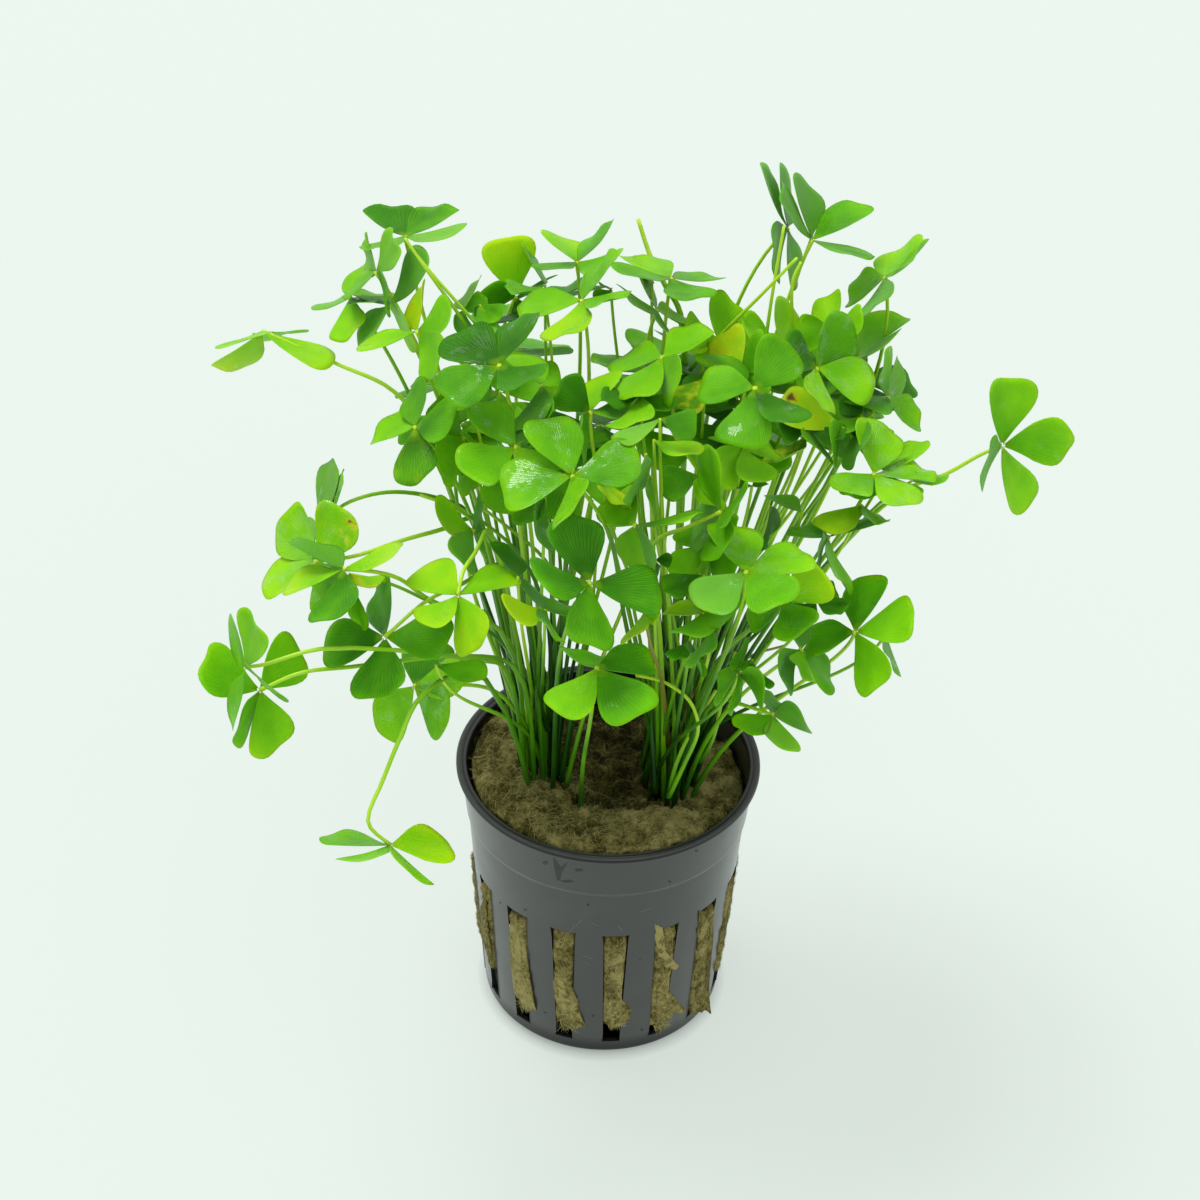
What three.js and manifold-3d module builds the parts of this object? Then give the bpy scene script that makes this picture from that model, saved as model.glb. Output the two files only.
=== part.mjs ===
// A potted water clover: a slotted net pot, its rock-wool plug and a crown of four-leaved fronds.
// Millimetres, +Z up. The origin is the middle of the pot's underside and -Y is the front.
// Each frond is placed by where its hub and leaflet tips stand in the front picture, a square
// of 1200 px seen from above through a long lens. Its depth comes from the crown's real size.
import * as THREE from 'three';
import { mergeVertices } from 'three/addons/utils/BufferGeometryUtils.js';
import Module from 'manifold-3d';

const wasm = await Module();
wasm.setup();

// Pot
const POT_HEIGHT = 50.7;
const RIM_RADIUS = 26;
const LIP_HEIGHT = 1;
const LIP_OVERHANG = 0.9;
const WALL = 1;
const SHOULDER_DROP = 9.7;
const SHOULDER_RADIUS = 24.3;
const SHOULDER_STEP = 0.35;
const TOE_RADIUS = 21;
const TOE_HEIGHT = 2.6;
const FOOT_RADIUS = 18.6;
const FLOOR = 1.6;
const SIDES = 32;
const SLOT_COUNT = 16;
const SLOT_TURN = THREE.MathUtils.degToRad(5.3);
const SLOT_TOP = 30.7;
const SLOT_BOTTOM = 3.6;
const SLOT_TOP_WIDTH = 4.4;
const SLOT_BOTTOM_WIDTH = 3;

// Rock wool
const GAP = 0.3;
const WOOL_TOP = 48.6;
const WOOL_BOTTOM = 9;
const BACK_SINK = 2.6;
const COLLAR_RISE = 1;
const TAB_TOP = 29.9;
const TAB_BOTTOM = 10;
const TAB_NARROWING = 0.8;
const TAB_ROOT = 3;
const POCKET_FLOOR = 43;
const POCKET_ROOM = 1.5;

// Crown of fronds
const CROWN_RADIUS = 50;
const CROWN_HALF_HEIGHT = 40;
const CROWN_MIDDLE = 112;
const STEM_RADIUS = 0.36;
const STEM_PITCH = 1.55;
const STEM_STEPS = 6;
const STEM_RISE = 7;
const HUB_HALF_THICKNESS = 0.5;
const BLADE_HALF_THICKNESS = 0.22;
const BLADE_CUP = 0.45;
const BLADE_WIDTH = 0.9;
const BLADE_LENGTH = 10.8;
const STALK_RADIUS = 0.55;

// Front picture: its eye stands back from the rim, looks down and leans a little
const EYE_PITCH = THREE.MathUtils.degToRad(37.15);
const EYE_ROLL = THREE.MathUtils.degToRad(1.72);
const EYE_DISTANCE = 512.8;
const FOCAL_PX = 3000;
const MIDDLE_PX = 600;
const RIM_PX = [608.3, 757.6];

// Tufts where the stems leave the wool: centre and half widths
const TUFTS = {
  left: { centre: [-11, 0.5], half: [4, 6.4] },
  right: { centre: [10.5, 1.5], half: [5.2, 9] },
  front: { centre: [-4.5, -12.9], half: [1, 1] },
};

// Fronds in picture coordinates: hub, four tips in turn, layer (1 front of the crown, -1 its back),
// millimetres nearer than the layer, tuft, and the points that a stem passes with how far towards
// the hub's depth it is there
const FRONDS = [
  { hub: [597, 668], tips: [[558, 712], [640, 715], [649, 657], [577, 645]], layer: 1, tuft: 'front',
    stem: [[583, 765, 0.2], [590, 722, 0.55]] },
  { hub: [590, 583], tips: [[573, 513], [663, 592], [592, 645], [538, 576]], layer: 0.95, tuft: 'left' },
  { hub: [572, 476], tips: [[500, 487], [548, 416], [637, 456], [568, 513]], layer: 0.85, tuft: 'right',
    stem: [[625, 620, 0.4], [606, 527, 0.85]] },
  { hub: [499, 365], tips: [[452, 332], [522, 308], [532, 384], [443, 393]], layer: 0.8, tuft: 'left' },
  { hub: [516, 447], tips: [[463, 470], [480, 404], [536, 405], [550, 478]], layer: 0.7, tuft: 'left' },
  { hub: [577, 262], tips: [[541, 268], [560, 232], [604, 222], [612, 262]], layer: -0.1, tuft: 'left' },
  { hub: [582, 300], tips: [[521, 304], [601, 255], [619, 297], [562, 338]], layer: 0.2, tuft: 'left' },
  { hub: [516, 297], tips: [[507, 236], [548, 285], [525, 335], [482, 305]], layer: -0.3, tuft: 'left' },
  { hub: [405, 236], tips: [[385, 204], [446, 202], [459, 231], [375, 246]], layer: -0.1, tuft: 'left' },
  { hub: [376, 272], tips: [[362, 249], [398, 240], [392, 302], [345, 286]], layer: -0.1, tuft: 'left' },
  { hub: [350, 298], tips: [[324, 303], [345, 337], [376, 302], [356, 268]], layer: 0.1, tuft: 'left' },
  { hub: [390, 305], tips: [[426, 252], [405, 336], [357, 338], [364, 290]], layer: 0.2, tuft: 'left' },
  { hub: [417, 331], tips: [[413, 291], [450, 309], [432, 366], [360, 345]], layer: 0.4, tuft: 'left' },
  { hub: [671, 278], tips: [[637, 250], [712, 273], [697, 297], [623, 268]], layer: 0, tuft: 'right' },
  { hub: [657, 310], tips: [[625, 294], [643, 270], [688, 318], [672, 338]], layer: 0.2, tuft: 'right' },
  { hub: [662, 357], tips: [[702, 325], [616, 355], [630, 398], [676, 390]], layer: 0.5, tuft: 'right' },
  { hub: [812, 240], tips: [[872, 257], [858, 202], [808, 180], [782, 190]], layer: -0.2, tuft: 'right' },
  { hub: [788, 228], tips: [[768, 162], [776, 262], [800, 282], [790, 178]], layer: -0.3, tuft: 'right' },
  { hub: [885, 277], tips: [[924, 248], [902, 240], [848, 291], [868, 313]], layer: 0, tuft: 'right' },
  { hub: [817, 368], tips: [[822, 407], [874, 385], [848, 323], [790, 345]], layer: 0.5, tuft: 'right' },
  { hub: [855, 355], tips: [[892, 340], [890, 308], [820, 372], [822, 398]], layer: 0.2, tuft: 'right' },
  { hub: [888, 397], tips: [[919, 420], [903, 372], [885, 353], [863, 403]], layer: 0.3, tuft: 'right' },
  { hub: [755, 388], tips: [[789, 347], [700, 382], [740, 447], [797, 425]], layer: 0.75, tuft: 'right' },
  { hub: [843, 428], tips: [[869, 430], [838, 398], [783, 398], [832, 452]], layer: 0.4, tuft: 'right' },
  { hub: [729, 346], tips: [[776, 340], [686, 334], [681, 353], [773, 360]], layer: -0.58, tuft: 'right' },
  { hub: [789, 431], tips: [[813, 426], [732, 417], [764, 437], [847, 446]], layer: -0.88, tuft: 'right' },
  { hub: [717, 338], tips: [[750, 345], [728, 299], [690, 330], [715, 370]], layer: 0, tuft: 'right' },
  { hub: [782, 345], tips: [[815, 350], [790, 304], [750, 326], [780, 378]], layer: 0.1, tuft: 'right' },
  { hub: [832, 330], tips: [[862, 318], [824, 297], [800, 335], [840, 360]], layer: -0.1, tuft: 'right' },
  { hub: [874, 474], tips: [[912, 498], [931, 468], [880, 424], [842, 490]], layer: 0.5, tuft: 'right' },
  { hub: [1002, 446], tips: [[1030, 508], [1072, 438], [1015, 377], [985, 470]], layer: 0, tuft: 'right',
    stem: [[830, 560, 0.35], [905, 490, 0.65], [946, 474, 0.82], [982, 454, 0.95]] },
  { hub: [262, 331], tips: [[228, 374], [238, 340], [334, 362], [288, 332]], layer: 0, tuft: 'left',
    stem: [[430, 440, 0.6], [392, 390, 0.75], [337, 364, 0.9]] },
  { hub: [415, 427], tips: [[451, 415], [411, 383], [379, 423], [412, 480]], layer: 0.6, tuft: 'left' },
  { hub: [463, 438], tips: [[432, 404], [437, 470], [478, 492], [490, 440]], layer: 0.5, tuft: 'left' },
  { hub: [318, 530], tips: [[340, 482], [329, 459], [300, 552], [318, 575]], layer: 0, tuft: 'left',
    stem: [[470, 515, 0.45], [440, 499, 0.6], [400, 492, 0.75], [370, 495, 0.88], [342, 506, 0.97]] },
  { hub: [315, 562], tips: [[345, 511], [281, 518], [262, 584], [332, 600]], layer: 0.6, tuft: 'left',
    stem: [[478, 519, 0.35], [440, 530, 0.55], [400, 541, 0.75], [355, 556, 0.95]] },
  { hub: [343, 569], tips: [[400, 546], [306, 540], [285, 584], [331, 621]], layer: 0.9, tuft: 'left',
    stem: [[500, 630, 0.55], [430, 600, 0.75], [400, 579, 0.85], [376, 572, 0.95]] },
  { hub: [385, 637], tips: [[449, 632], [376, 584], [320, 644], [374, 696]], layer: 0.9, tuft: 'left',
    stem: [[505, 565, 0.5], [460, 585, 0.7], [425, 602, 0.85]] },
  { hub: [414, 686], tips: [[462, 672], [433, 640], [380, 731], [445, 722]], layer: 1, tuft: 'left',
    stem: [[512, 706, 0.45], [484, 687, 0.65]] },
  { hub: [390, 845], tips: [[449, 844], [327, 836], [352, 861], [421, 880]], layer: 0, tuft: 'left',
    stem: [[470, 670, 0.5], [418, 700, 0.75], [400, 738, 0.85], [383, 780, 0.92], [368, 822, 1]] },
  { hub: [458, 595], tips: [[515, 567], [419, 562], [424, 621], [473, 647]], layer: 0.7, tuft: 'left',
    stem: [[488, 530, 0.6], [475, 553, 0.75], [463, 572, 0.9]] },
  { hub: [473, 530], tips: [[480, 505], [436, 512], [461, 564], [489, 548]], layer: 0.2, tuft: 'left' },
  { hub: [457, 381], tips: [[514, 368], [428, 377], [399, 396], [487, 386]], layer: -0.55, tuft: 'left' },
  { hub: [260, 690], tips: [[302, 646], [203, 662], [238, 741], [279, 754]], layer: 0, tuft: 'left',
    stem: [[512, 665, 0.35], [463, 656, 0.5], [350, 667, 0.82], [300, 673, 0.95]] },
  { hub: [245, 667], tips: [[253, 620], [232, 629], [228, 720], [272, 690]], layer: 0, nearer: 7,
    tuft: 'left', stem: [[505, 669, 0.25], [478, 660, 0.4], [320, 649, 0.88], [262, 665, 0.97]] },
  { hub: [855, 632], tips: [[916, 617], [868, 576], [804, 637], [878, 689]], layer: 0.6, tuft: 'right' },
  { hub: [801, 650], tips: [[795, 611], [782, 680], [806, 674], [832, 681]], layer: 0.4, tuft: 'right' },
  { hub: [783, 601], tips: [[826, 573], [768, 568], [748, 618], [800, 632]], layer: 0.6, tuft: 'right',
    stem: [[725, 652, 0.6], [760, 622, 0.85]] },
  { hub: [746, 572], tips: [[808, 551], [732, 521], [700, 602], [783, 602]], layer: 0.85, tuft: 'right' },
  { hub: [721, 512], tips: [[738, 502], [704, 447], [692, 532], [712, 552]], layer: 0.6, tuft: 'right',
    stem: [[650, 640, 0.3], [655, 542, 0.75], [688, 527, 0.88]] },
  { hub: [635, 525], tips: [[700, 516], [612, 498], [626, 570], [657, 572]], layer: 0.75, tuft: 'right' },
  { hub: [631, 395], tips: [[689, 392], [605, 383], [573, 399], [659, 408]], layer: -0.59, tuft: 'right' },
  { hub: [828, 537], tips: [[883, 514], [795, 526], [818, 557], [846, 590]], layer: 0.4, tuft: 'right' },
  { hub: [773, 715], tips: [[809, 716], [771, 692], [743, 727], [786, 751]], layer: 0.7, tuft: 'right',
    stem: [[718, 699, 0.6], [740, 704, 0.8]] },
  { hub: [835, 393], tips: [[890, 402], [806, 375], [780, 384], [866, 411]], layer: -0.81, tuft: 'right' },
  { hub: [513, 348], tips: [[557, 338], [467, 342], [467, 359], [560, 355]], layer: -0.57, tuft: 'left' },
  { hub: [590, 412], tips: [[650, 408], [602, 372], [562, 385], [582, 450]], layer: 0.6, tuft: 'right' },
];

// A bare stalk whose leaflets have gone
const STALK = { hub: [638, 219], layer: -0.1, tuft: 'right',
  stem: [[681, 316, 0.6], [665, 285, 0.75], [650, 255, 0.9]] };

// Half outline of a leaflet as shares of its length and width, from the hub to the tip
const BLADE_OUTLINE = [[0.08, 0.05], [0.5, 0.28], [0.84, 0.47]];
const BLADE_APEX = 0.64;

// Steps along the line of sight that a frond may take to stand clear of the others, and the
// sways that its stem may take on the way
const SETTLE_STEPS = [0, 2, -2, 4, -4, 6, -6, 8, -8, 10, -10];
const STEM_SWAYS = [0, 3, -3, 6, -6];
const CLEAR_OF_BLADE = 1.5;
const CLEAR_OF_STEM = 1.05;
const STEM_PROBES = 90;

const green = new THREE.MeshStandardMaterial({ color: 0x5f9a23, roughness: 0.45, metalness: 0 });
const blackPlastic = new THREE.MeshStandardMaterial({ color: 0x3a3d3d, roughness: 0.5, metalness: 0 });
const fibre = new THREE.MeshStandardMaterial({ color: 0x6f6a3f, roughness: 0.95, metalness: 0 });

function vec(x, y, z) {
  return new THREE.Vector3(x, y, z);
}

function toSolid(geometry) {
  const bare = geometry.index ? geometry.toNonIndexed() : geometry.clone();
  bare.deleteAttribute('normal');
  bare.deleteAttribute('uv');
  const merged = mergeVertices(bare, 1e-4);
  return new wasm.Manifold(new wasm.Mesh({
    numProp: 3,
    vertProperties: new Float32Array(merged.attributes.position.array),
    triVerts: new Uint32Array(merged.index.array),
  }));
}

function fromPoints(points, faces) {
  return new wasm.Manifold(new wasm.Mesh({
    numProp: 3,
    vertProperties: new Float32Array(points.flatMap((p) => [p.x, p.y, p.z])),
    triVerts: new Uint32Array(faces.flat()),
  }));
}

function largestPiece(solid) {
  const pieces = solid.decompose();
  return pieces.reduce((best, piece) => (piece.volume() > best.volume() ? piece : best));
}

function toMesh(name, solid, material) {
  const mesh = solid.getMesh();
  const geometry = new THREE.BufferGeometry();
  geometry.setAttribute('position', new THREE.BufferAttribute(new Float32Array(mesh.vertProperties), 3));
  geometry.setIndex(new THREE.BufferAttribute(new Uint32Array(mesh.triVerts), 1));
  geometry.computeVertexNormals();
  const result = new THREE.Mesh(geometry, material);
  result.name = name;
  return result;
}

// The eye of the front picture
const forward = vec(0, Math.cos(EYE_PITCH), -Math.sin(EYE_PITCH));
const levelUp = vec(0, Math.sin(EYE_PITCH), Math.cos(EYE_PITCH));
const across = vec(Math.cos(EYE_ROLL), 0, 0).addScaledVector(levelUp, Math.sin(EYE_ROLL));
const upward = vec(-Math.sin(EYE_ROLL), 0, 0).addScaledVector(levelUp, Math.cos(EYE_ROLL));

function sight([u, v]) {
  return forward.clone()
    .addScaledVector(across, (u - MIDDLE_PX) / FOCAL_PX)
    .addScaledVector(upward, -(v - MIDDLE_PX) / FOCAL_PX);
}

const eye = vec(0, 0, POT_HEIGHT).addScaledVector(sight(RIM_PX), -EYE_DISTANCE);

// Where the line of sight through a picture point meets the crown at a given layer
function depthInCrown(pixel, layer) {
  const ray = sight(pixel);
  const scale = vec(1 / CROWN_RADIUS, 1 / CROWN_RADIUS, 1 / CROWN_HALF_HEIGHT);
  const from = eye.clone().sub(vec(0, 0, CROWN_MIDDLE)).multiply(scale);
  const along = ray.clone().multiply(scale);
  const a = along.lengthSq();
  const b = from.dot(along);
  const c = from.lengthSq() - 1;
  const half = Math.sqrt(Math.max(0, b * b - a * c)) / a;
  return -b / a - layer * half;
}

function atDepth(pixel, depth) {
  return eye.clone().addScaledVector(sight(pixel), depth);
}

function atY(pixel, y) {
  const ray = sight(pixel);
  return eye.clone().addScaledVector(ray, (y - eye.y) / ray.y);
}

// Depth differences of two crossing leaflet axes that make them square and equal in length
function tiltOfAxes(first, second) {
  const dot = first[0] * second[0] + first[1] * second[1];
  const longer = second[0] ** 2 + second[1] ** 2 - first[0] ** 2 - first[1] ** 2;
  const root = Math.sqrt((longer + Math.sqrt(longer * longer + 4 * dot * dot)) / 2);
  return root > 1e-6 ? [root, -dot / root] : [0, Math.sqrt(Math.max(0, -longer))];
}

// Places a frond's hub and leaflets in space, its hub moved by some millimetres along the sight line
function poseFrond(frond, step) {
  const depth = depthInCrown(frond.hub, frond.layer) - (frond.nearer ?? 0) + step;
  const hub = atDepth(frond.hub, depth);
  const scale = depth / FOCAL_PX;
  const ray = sight(frond.hub);
  const flat = frond.tips.map(([u, v]) => [(u - frond.hub[0]) * scale, (frond.hub[1] - v) * scale]);
  const first = [(flat[0][0] - flat[2][0]) / 2, (flat[0][1] - flat[2][1]) / 2];
  const second = [(flat[1][0] - flat[3][0]) / 2, (flat[1][1] - flat[3][1]) / 2];
  const tilt = tiltOfAxes(first, second);
  const place = ([x, y], z) => vec(0, 0, 0)
    .addScaledVector(across, x).addScaledVector(upward, y).addScaledVector(ray, -z);
  const normals = [1, -1].map((sign) => {
    const normal = place(first, sign * tilt[0]).cross(place(second, sign * tilt[1])).normalize();
    return normal.dot(forward) > 0 ? normal.negate() : normal;
  });
  const sign = normals[0].z >= normals[1].z ? 1 : -1;
  const normal = sign === 1 ? normals[0] : normals[1];
  const length = Math.max(BLADE_LENGTH * (frond.size ?? 1), ...flat.map(([x, y]) => Math.hypot(x, y)));
  const blades = flat.map(([x, y], i) => {
    const planar = sign * (i < 2 ? 1 : -1) * tilt[i % 2];
    const room = Math.sqrt(Math.max(0, length * length - x * x - y * y));
    const z = (planar < 0 ? -1 : 1) * Math.min(room, Math.abs(planar) + (room - Math.abs(planar)) / 2);
    const tip = place([x, y], z);
    const axis = tip.clone().normalize();
    const side = normal.clone().cross(axis).normalize();
    return { axis, side, face: axis.clone().cross(side), length: tip.length() };
  });
  const turn = ({ axis }) => Math.atan2(blades[0].side.dot(axis), blades[0].axis.dot(axis));
  blades.sort((one, other) => turn(one) - turn(other));
  return { hub, normal, blades };
}

// Base of each stem in its tuft: near stems are pushed apart to one stem pitch
function spreadBases(all) {
  const bases = all.map((frond) => {
    const { centre, half } = TUFTS[frond.tuft];
    const middle = vec(centre[0], centre[1], 0);
    const hub = atDepth(frond.hub, depthInCrown(frond.hub, frond.layer));
    const [u, v, share] = frond.stem ? frond.stem[0] : [...frond.hub, 1];
    const lean = atY([u, v], share * hub.y).sub(middle).setZ(0);
    lean.setLength(Math.min(1, hub.clone().sub(middle).setZ(0).length() / CROWN_RADIUS));
    return vec(centre[0] + lean.x * half[0], centre[1] + lean.y * half[1], POCKET_FLOOR + GAP);
  });
  for (let round = 0; round < 200; round += 1) {
    for (let i = 0; i < all.length; i += 1) {
      for (let j = i + 1; j < all.length; j += 1) {
        const apart = bases[i].clone().sub(bases[j]);
        const short = STEM_PITCH - apart.length();
        if (short > 0) {
          apart.setLength(short / 2);
          bases[i].add(apart);
          bases[j].sub(apart);
        }
      }
    }
  }
  return bases;
}

function stemCurve(frond, pose, base, sway = 0) {
  if (frond.stem) {
    const passed = frond.stem.map(([u, v, share]) => {
      const y = base.y + share * (pose.hub.y - base.y);
      return atY([u, v], y + sway * Math.sin(Math.PI * share));
    });
    const rise = base.clone().add(vec(0, 0, STEM_RISE));
    return new THREE.CatmullRomCurve3([base, rise, ...passed, pose.hub]);
  }
  const chord = pose.hub.clone().sub(base);
  const reach = chord.length();
  const arrive = chord.clone().normalize().add(pose.normal).normalize();
  const leave = vec(chord.x, chord.y, reach * 2).normalize();
  return new THREE.CubicBezierCurve3(
    base,
    base.clone().addScaledVector(leave, reach * 0.4),
    pose.hub.clone().addScaledVector(arrive, -reach * 0.25).addScaledVector(forward, sway),
    pose.hub,
  );
}

function bladePoint(hub, leaf, along, side) {
  return hub.clone()
    .addScaledVector(leaf.axis, along * leaf.length)
    .addScaledVector(leaf.side, side * leaf.length * BLADE_WIDTH);
}

// Points by which two fronds are kept apart
const BLADE_PROBES = [
  [0.3, 0], [0.5, 0.12], [0.5, -0.12], [0.68, 0], [0.75, 0.25], [0.75, -0.25], [0.86, 0],
  [0.8, 0.42], [0.8, -0.42], [0.97, 0.14], [0.97, -0.14],
];

function probes(pose, curve) {
  const blades = pose.blades.flatMap((leaf) => (
    BLADE_PROBES.map(([along, side]) => bladePoint(pose.hub, leaf, along, side))
  ));
  return { blades, stem: curve.getPoints(STEM_PROBES) };
}

function countNear(points, others, distance) {
  let near = 0;
  for (const p of points) {
    for (const q of others) {
      if (p.distanceToSquared(q) < distance * distance) near += 1;
    }
  }
  return near;
}

function crowding(mine, other) {
  return countNear(mine.blades, other.blades, CLEAR_OF_BLADE)
    + countNear(mine.blades, other.stem, CLEAR_OF_STEM)
    + countNear(mine.stem, other.blades, CLEAR_OF_STEM)
    + countNear(mine.stem, other.stem, CLEAR_OF_STEM) * 3;
}

// Each frond takes the first place that is clear of those before it, or else the least crowded
function settle(all, bases, stalkProbes) {
  const placed = [];
  const taken = [stalkProbes];
  for (const [i, frond] of all.entries()) {
    let best = null;
    for (const sway of frond.tuft === 'front' ? [0] : STEM_SWAYS) {
      for (const step of SETTLE_STEPS) {
        if (best && best.crowd === 0) break;
        const pose = poseFrond(frond, step);
        const curve = stemCurve(frond, pose, bases[i], sway);
        const mine = probes(pose, curve);
        const crowd = taken.reduce((sum, other) => sum + crowding(mine, other), 0);
        if (!best || crowd < best.crowd) best = { crowd, pose, curve, mine };
      }
    }
    placed.push(best);
    taken.push(best.mine);
  }
  return placed;
}

// The four leaflets as one thin body round the hub, each fan slightly hollow above
function leafSheet({ hub, normal, blades }) {
  const points = [1, -1].map((face) => hub.clone().addScaledVector(normal, face * HUB_HALF_THICKNESS));
  const faces = [];
  const rimSize = 2 * BLADE_OUTLINE.length + 1;
  const stride = rimSize + 2;
  blades.forEach((leaf, i) => {
    const clockwise = BLADE_OUTLINE.map(([along, side]) => bladePoint(hub, leaf, along, -side));
    const tip = bladePoint(hub, leaf, 1, 0);
    const counter = BLADE_OUTLINE.map(([along, side]) => bladePoint(hub, leaf, along, side)).reverse();
    const middle = bladePoint(hub, leaf, BLADE_APEX, 0).addScaledVector(leaf.face, -BLADE_CUP);
    const upper = middle.clone().addScaledVector(leaf.face, BLADE_HALF_THICKNESS);
    const lower = middle.clone().addScaledVector(leaf.face, -BLADE_HALF_THICKNESS);
    const first = 2 + i * stride;
    const last = first + rimSize - 1;
    const next = 2 + ((i + 1) % blades.length) * stride;
    points.push(...clockwise, tip, ...counter, upper, lower);
    for (let k = first; k < last; k += 1) {
      faces.push([k, k + 1, last + 1], [k + 1, k, last + 2]);
    }
    faces.push([0, first, last + 1], [0, last + 1, last], [0, last, next]);
    faces.push([1, last + 2, first], [1, last, last + 2], [1, next, last]);
  });
  return fromPoints(points, faces);
}

// The room that a leaflet keeps to itself: a flat plate a gap larger all round
function bladeRoom(hub, leaf) {
  const grow = (along, side) => bladePoint(hub, leaf, along, side)
    .addScaledVector(leaf.side, Math.sign(side) * GAP)
    .addScaledVector(leaf.axis, along > 0.9 ? GAP : 0);
  const right = BLADE_OUTLINE.map(([along, side]) => grow(along, side));
  const left = BLADE_OUTLINE.map(([along, side]) => grow(along, -side)).reverse();
  const rim = [...right, grow(1, 0), ...left];
  const n = rim.length;
  const half = BLADE_HALF_THICKNESS + GAP;
  const upper = rim.map((p) => p.clone().addScaledVector(leaf.face, half));
  const lower = rim.map((p) => p.clone().addScaledVector(leaf.face, -half - 0.1));
  const middle = bladePoint(hub, leaf, BLADE_APEX, 0).addScaledVector(leaf.face, -BLADE_CUP);
  const top = middle.clone().addScaledVector(leaf.face, half);
  const bottom = middle.clone().addScaledVector(leaf.face, -half);
  const faces = rim.flatMap((_, i) => {
    const j = (i + 1) % n;
    return [[j, i, 2 * n], [n + i, n + j, 2 * n + 1], [i, j, n + i], [n + i, j, n + j]];
  });
  return fromPoints([...upper, ...lower, top, bottom], faces);
}

function stem(curve, radius) {
  const section = new THREE.Shape();
  section.moveTo(radius, 0);
  section.lineTo(0, radius);
  section.lineTo(-radius, 0);
  section.lineTo(0, -radius);
  section.closePath();
  return toSolid(new THREE.ExtrudeGeometry(section, { steps: STEM_STEPS, extrudePath: curve }));
}

const bases = spreadBases([...FRONDS, STALK]);
const stalkTip = atDepth(STALK.hub, depthInCrown(STALK.hub, STALK.layer));
const stalkCurve = stemCurve(STALK, { hub: stalkTip }, bases[FRONDS.length]);
const stalkProbes = { blades: [], stem: stalkCurve.getPoints(STEM_PROBES) };
const settled = settle(FRONDS, bases, stalkProbes);

function buildFronds() {
  const parts = settled.map(({ pose, curve }) => {
    return {
      leaves: leafSheet(pose),
      rooms: pose.blades.map((leaf) => bladeRoom(pose.hub, leaf)),
      stem: stem(curve, STEM_RADIUS),
      stemRoom: stem(curve, STEM_RADIUS + GAP),
    };
  });
  const stalk = stem(stalkCurve, STALK_RADIUS);
  const stalkRoom = stem(stalkCurve, STALK_RADIUS + GAP);
  const solids = parts.map((part, i) => {
    const cuts = [stalkRoom];
    parts.forEach((other, j) => {
      if (j !== i) cuts.push(other.stemRoom);
      if (j < i) cuts.push(...other.rooms);
    });
    const leaves = part.leaves.subtract(wasm.Manifold.union(cuts));
    return largestPiece(leaves.add(part.stem));
  });
  return { solids, stalk, stemRooms: [stalkRoom, ...parts.map((part) => part.stemRoom)] };
}

// A turned body whose flats face the slots
function turnedUpright(profile) {
  const turned = new THREE.LatheGeometry(profile, SIDES);
  return turned.rotateX(Math.PI / 2).rotateZ(SLOT_TURN + Math.PI / SIDES);
}

// Net pot
function potBody() {
  const below = POT_HEIGHT - SHOULDER_DROP;
  const neck = RIM_RADIUS - LIP_OVERHANG;
  const inside = (radius) => radius - WALL;
  const profile = [
    [0, 0], [FOOT_RADIUS, 0], [TOE_RADIUS - 0.5, TOE_HEIGHT * 0.35], [TOE_RADIUS, TOE_HEIGHT],
    [SHOULDER_RADIUS - SHOULDER_STEP, below], [SHOULDER_RADIUS, below + 0.4],
    [neck, POT_HEIGHT - LIP_HEIGHT], [RIM_RADIUS, POT_HEIGHT - LIP_HEIGHT], [RIM_RADIUS, POT_HEIGHT],
    [inside(neck), POT_HEIGHT], [inside(neck) - 0.15, POT_HEIGHT - LIP_HEIGHT * 1.5],
    [inside(SHOULDER_RADIUS) - 0.1, below + 0.6], [inside(SHOULDER_RADIUS - SHOULDER_STEP), below],
    [inside(TOE_RADIUS), FLOOR + TOE_HEIGHT / 2], [inside(TOE_RADIUS) - 1, FLOOR], [0, FLOOR],
  ].map(([r, z]) => new THREE.Vector2(r, z));
  return toSolid(turnedUpright(profile));
}

function slotAngle(index) {
  return SLOT_TURN + (index * 2 * Math.PI) / SLOT_COUNT;
}

// A tapered block that points outwards from the axis at a slot
function radialBlock(index, [bottom, top], [bottomWidth, topWidth], [from, to]) {
  const face = new THREE.Shape();
  face.moveTo(-bottomWidth / 2, bottom);
  face.lineTo(bottomWidth / 2, bottom);
  face.lineTo(topWidth / 2, top);
  face.lineTo(-topWidth / 2, top);
  face.closePath();
  const block = new THREE.ExtrudeGeometry(face, { depth: to - from, bevelEnabled: false });
  block.rotateX(Math.PI / 2).translate(0, -from, 0).rotateZ(slotAngle(index));
  return toSolid(block);
}

function buildPot() {
  const slots = [];
  for (let i = 0; i < SLOT_COUNT; i += 1) {
    slots.push(radialBlock(i, [SLOT_BOTTOM, SLOT_TOP], [SLOT_BOTTOM_WIDTH, SLOT_TOP_WIDTH],
      [FOOT_RADIUS - 1, RIM_RADIUS + 2]));
  }
  return potBody().subtract(wasm.Manifold.union(slots));
}

// Inner radius of the pot wall at a height
function wallInside(z) {
  const below = POT_HEIGHT - SHOULDER_DROP;
  const low = TOE_RADIUS - WALL;
  const high = SHOULDER_RADIUS - SHOULDER_STEP - WALL;
  return low + ((high - low) * (z - TOE_HEIGHT)) / (below - TOE_HEIGHT);
}

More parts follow.
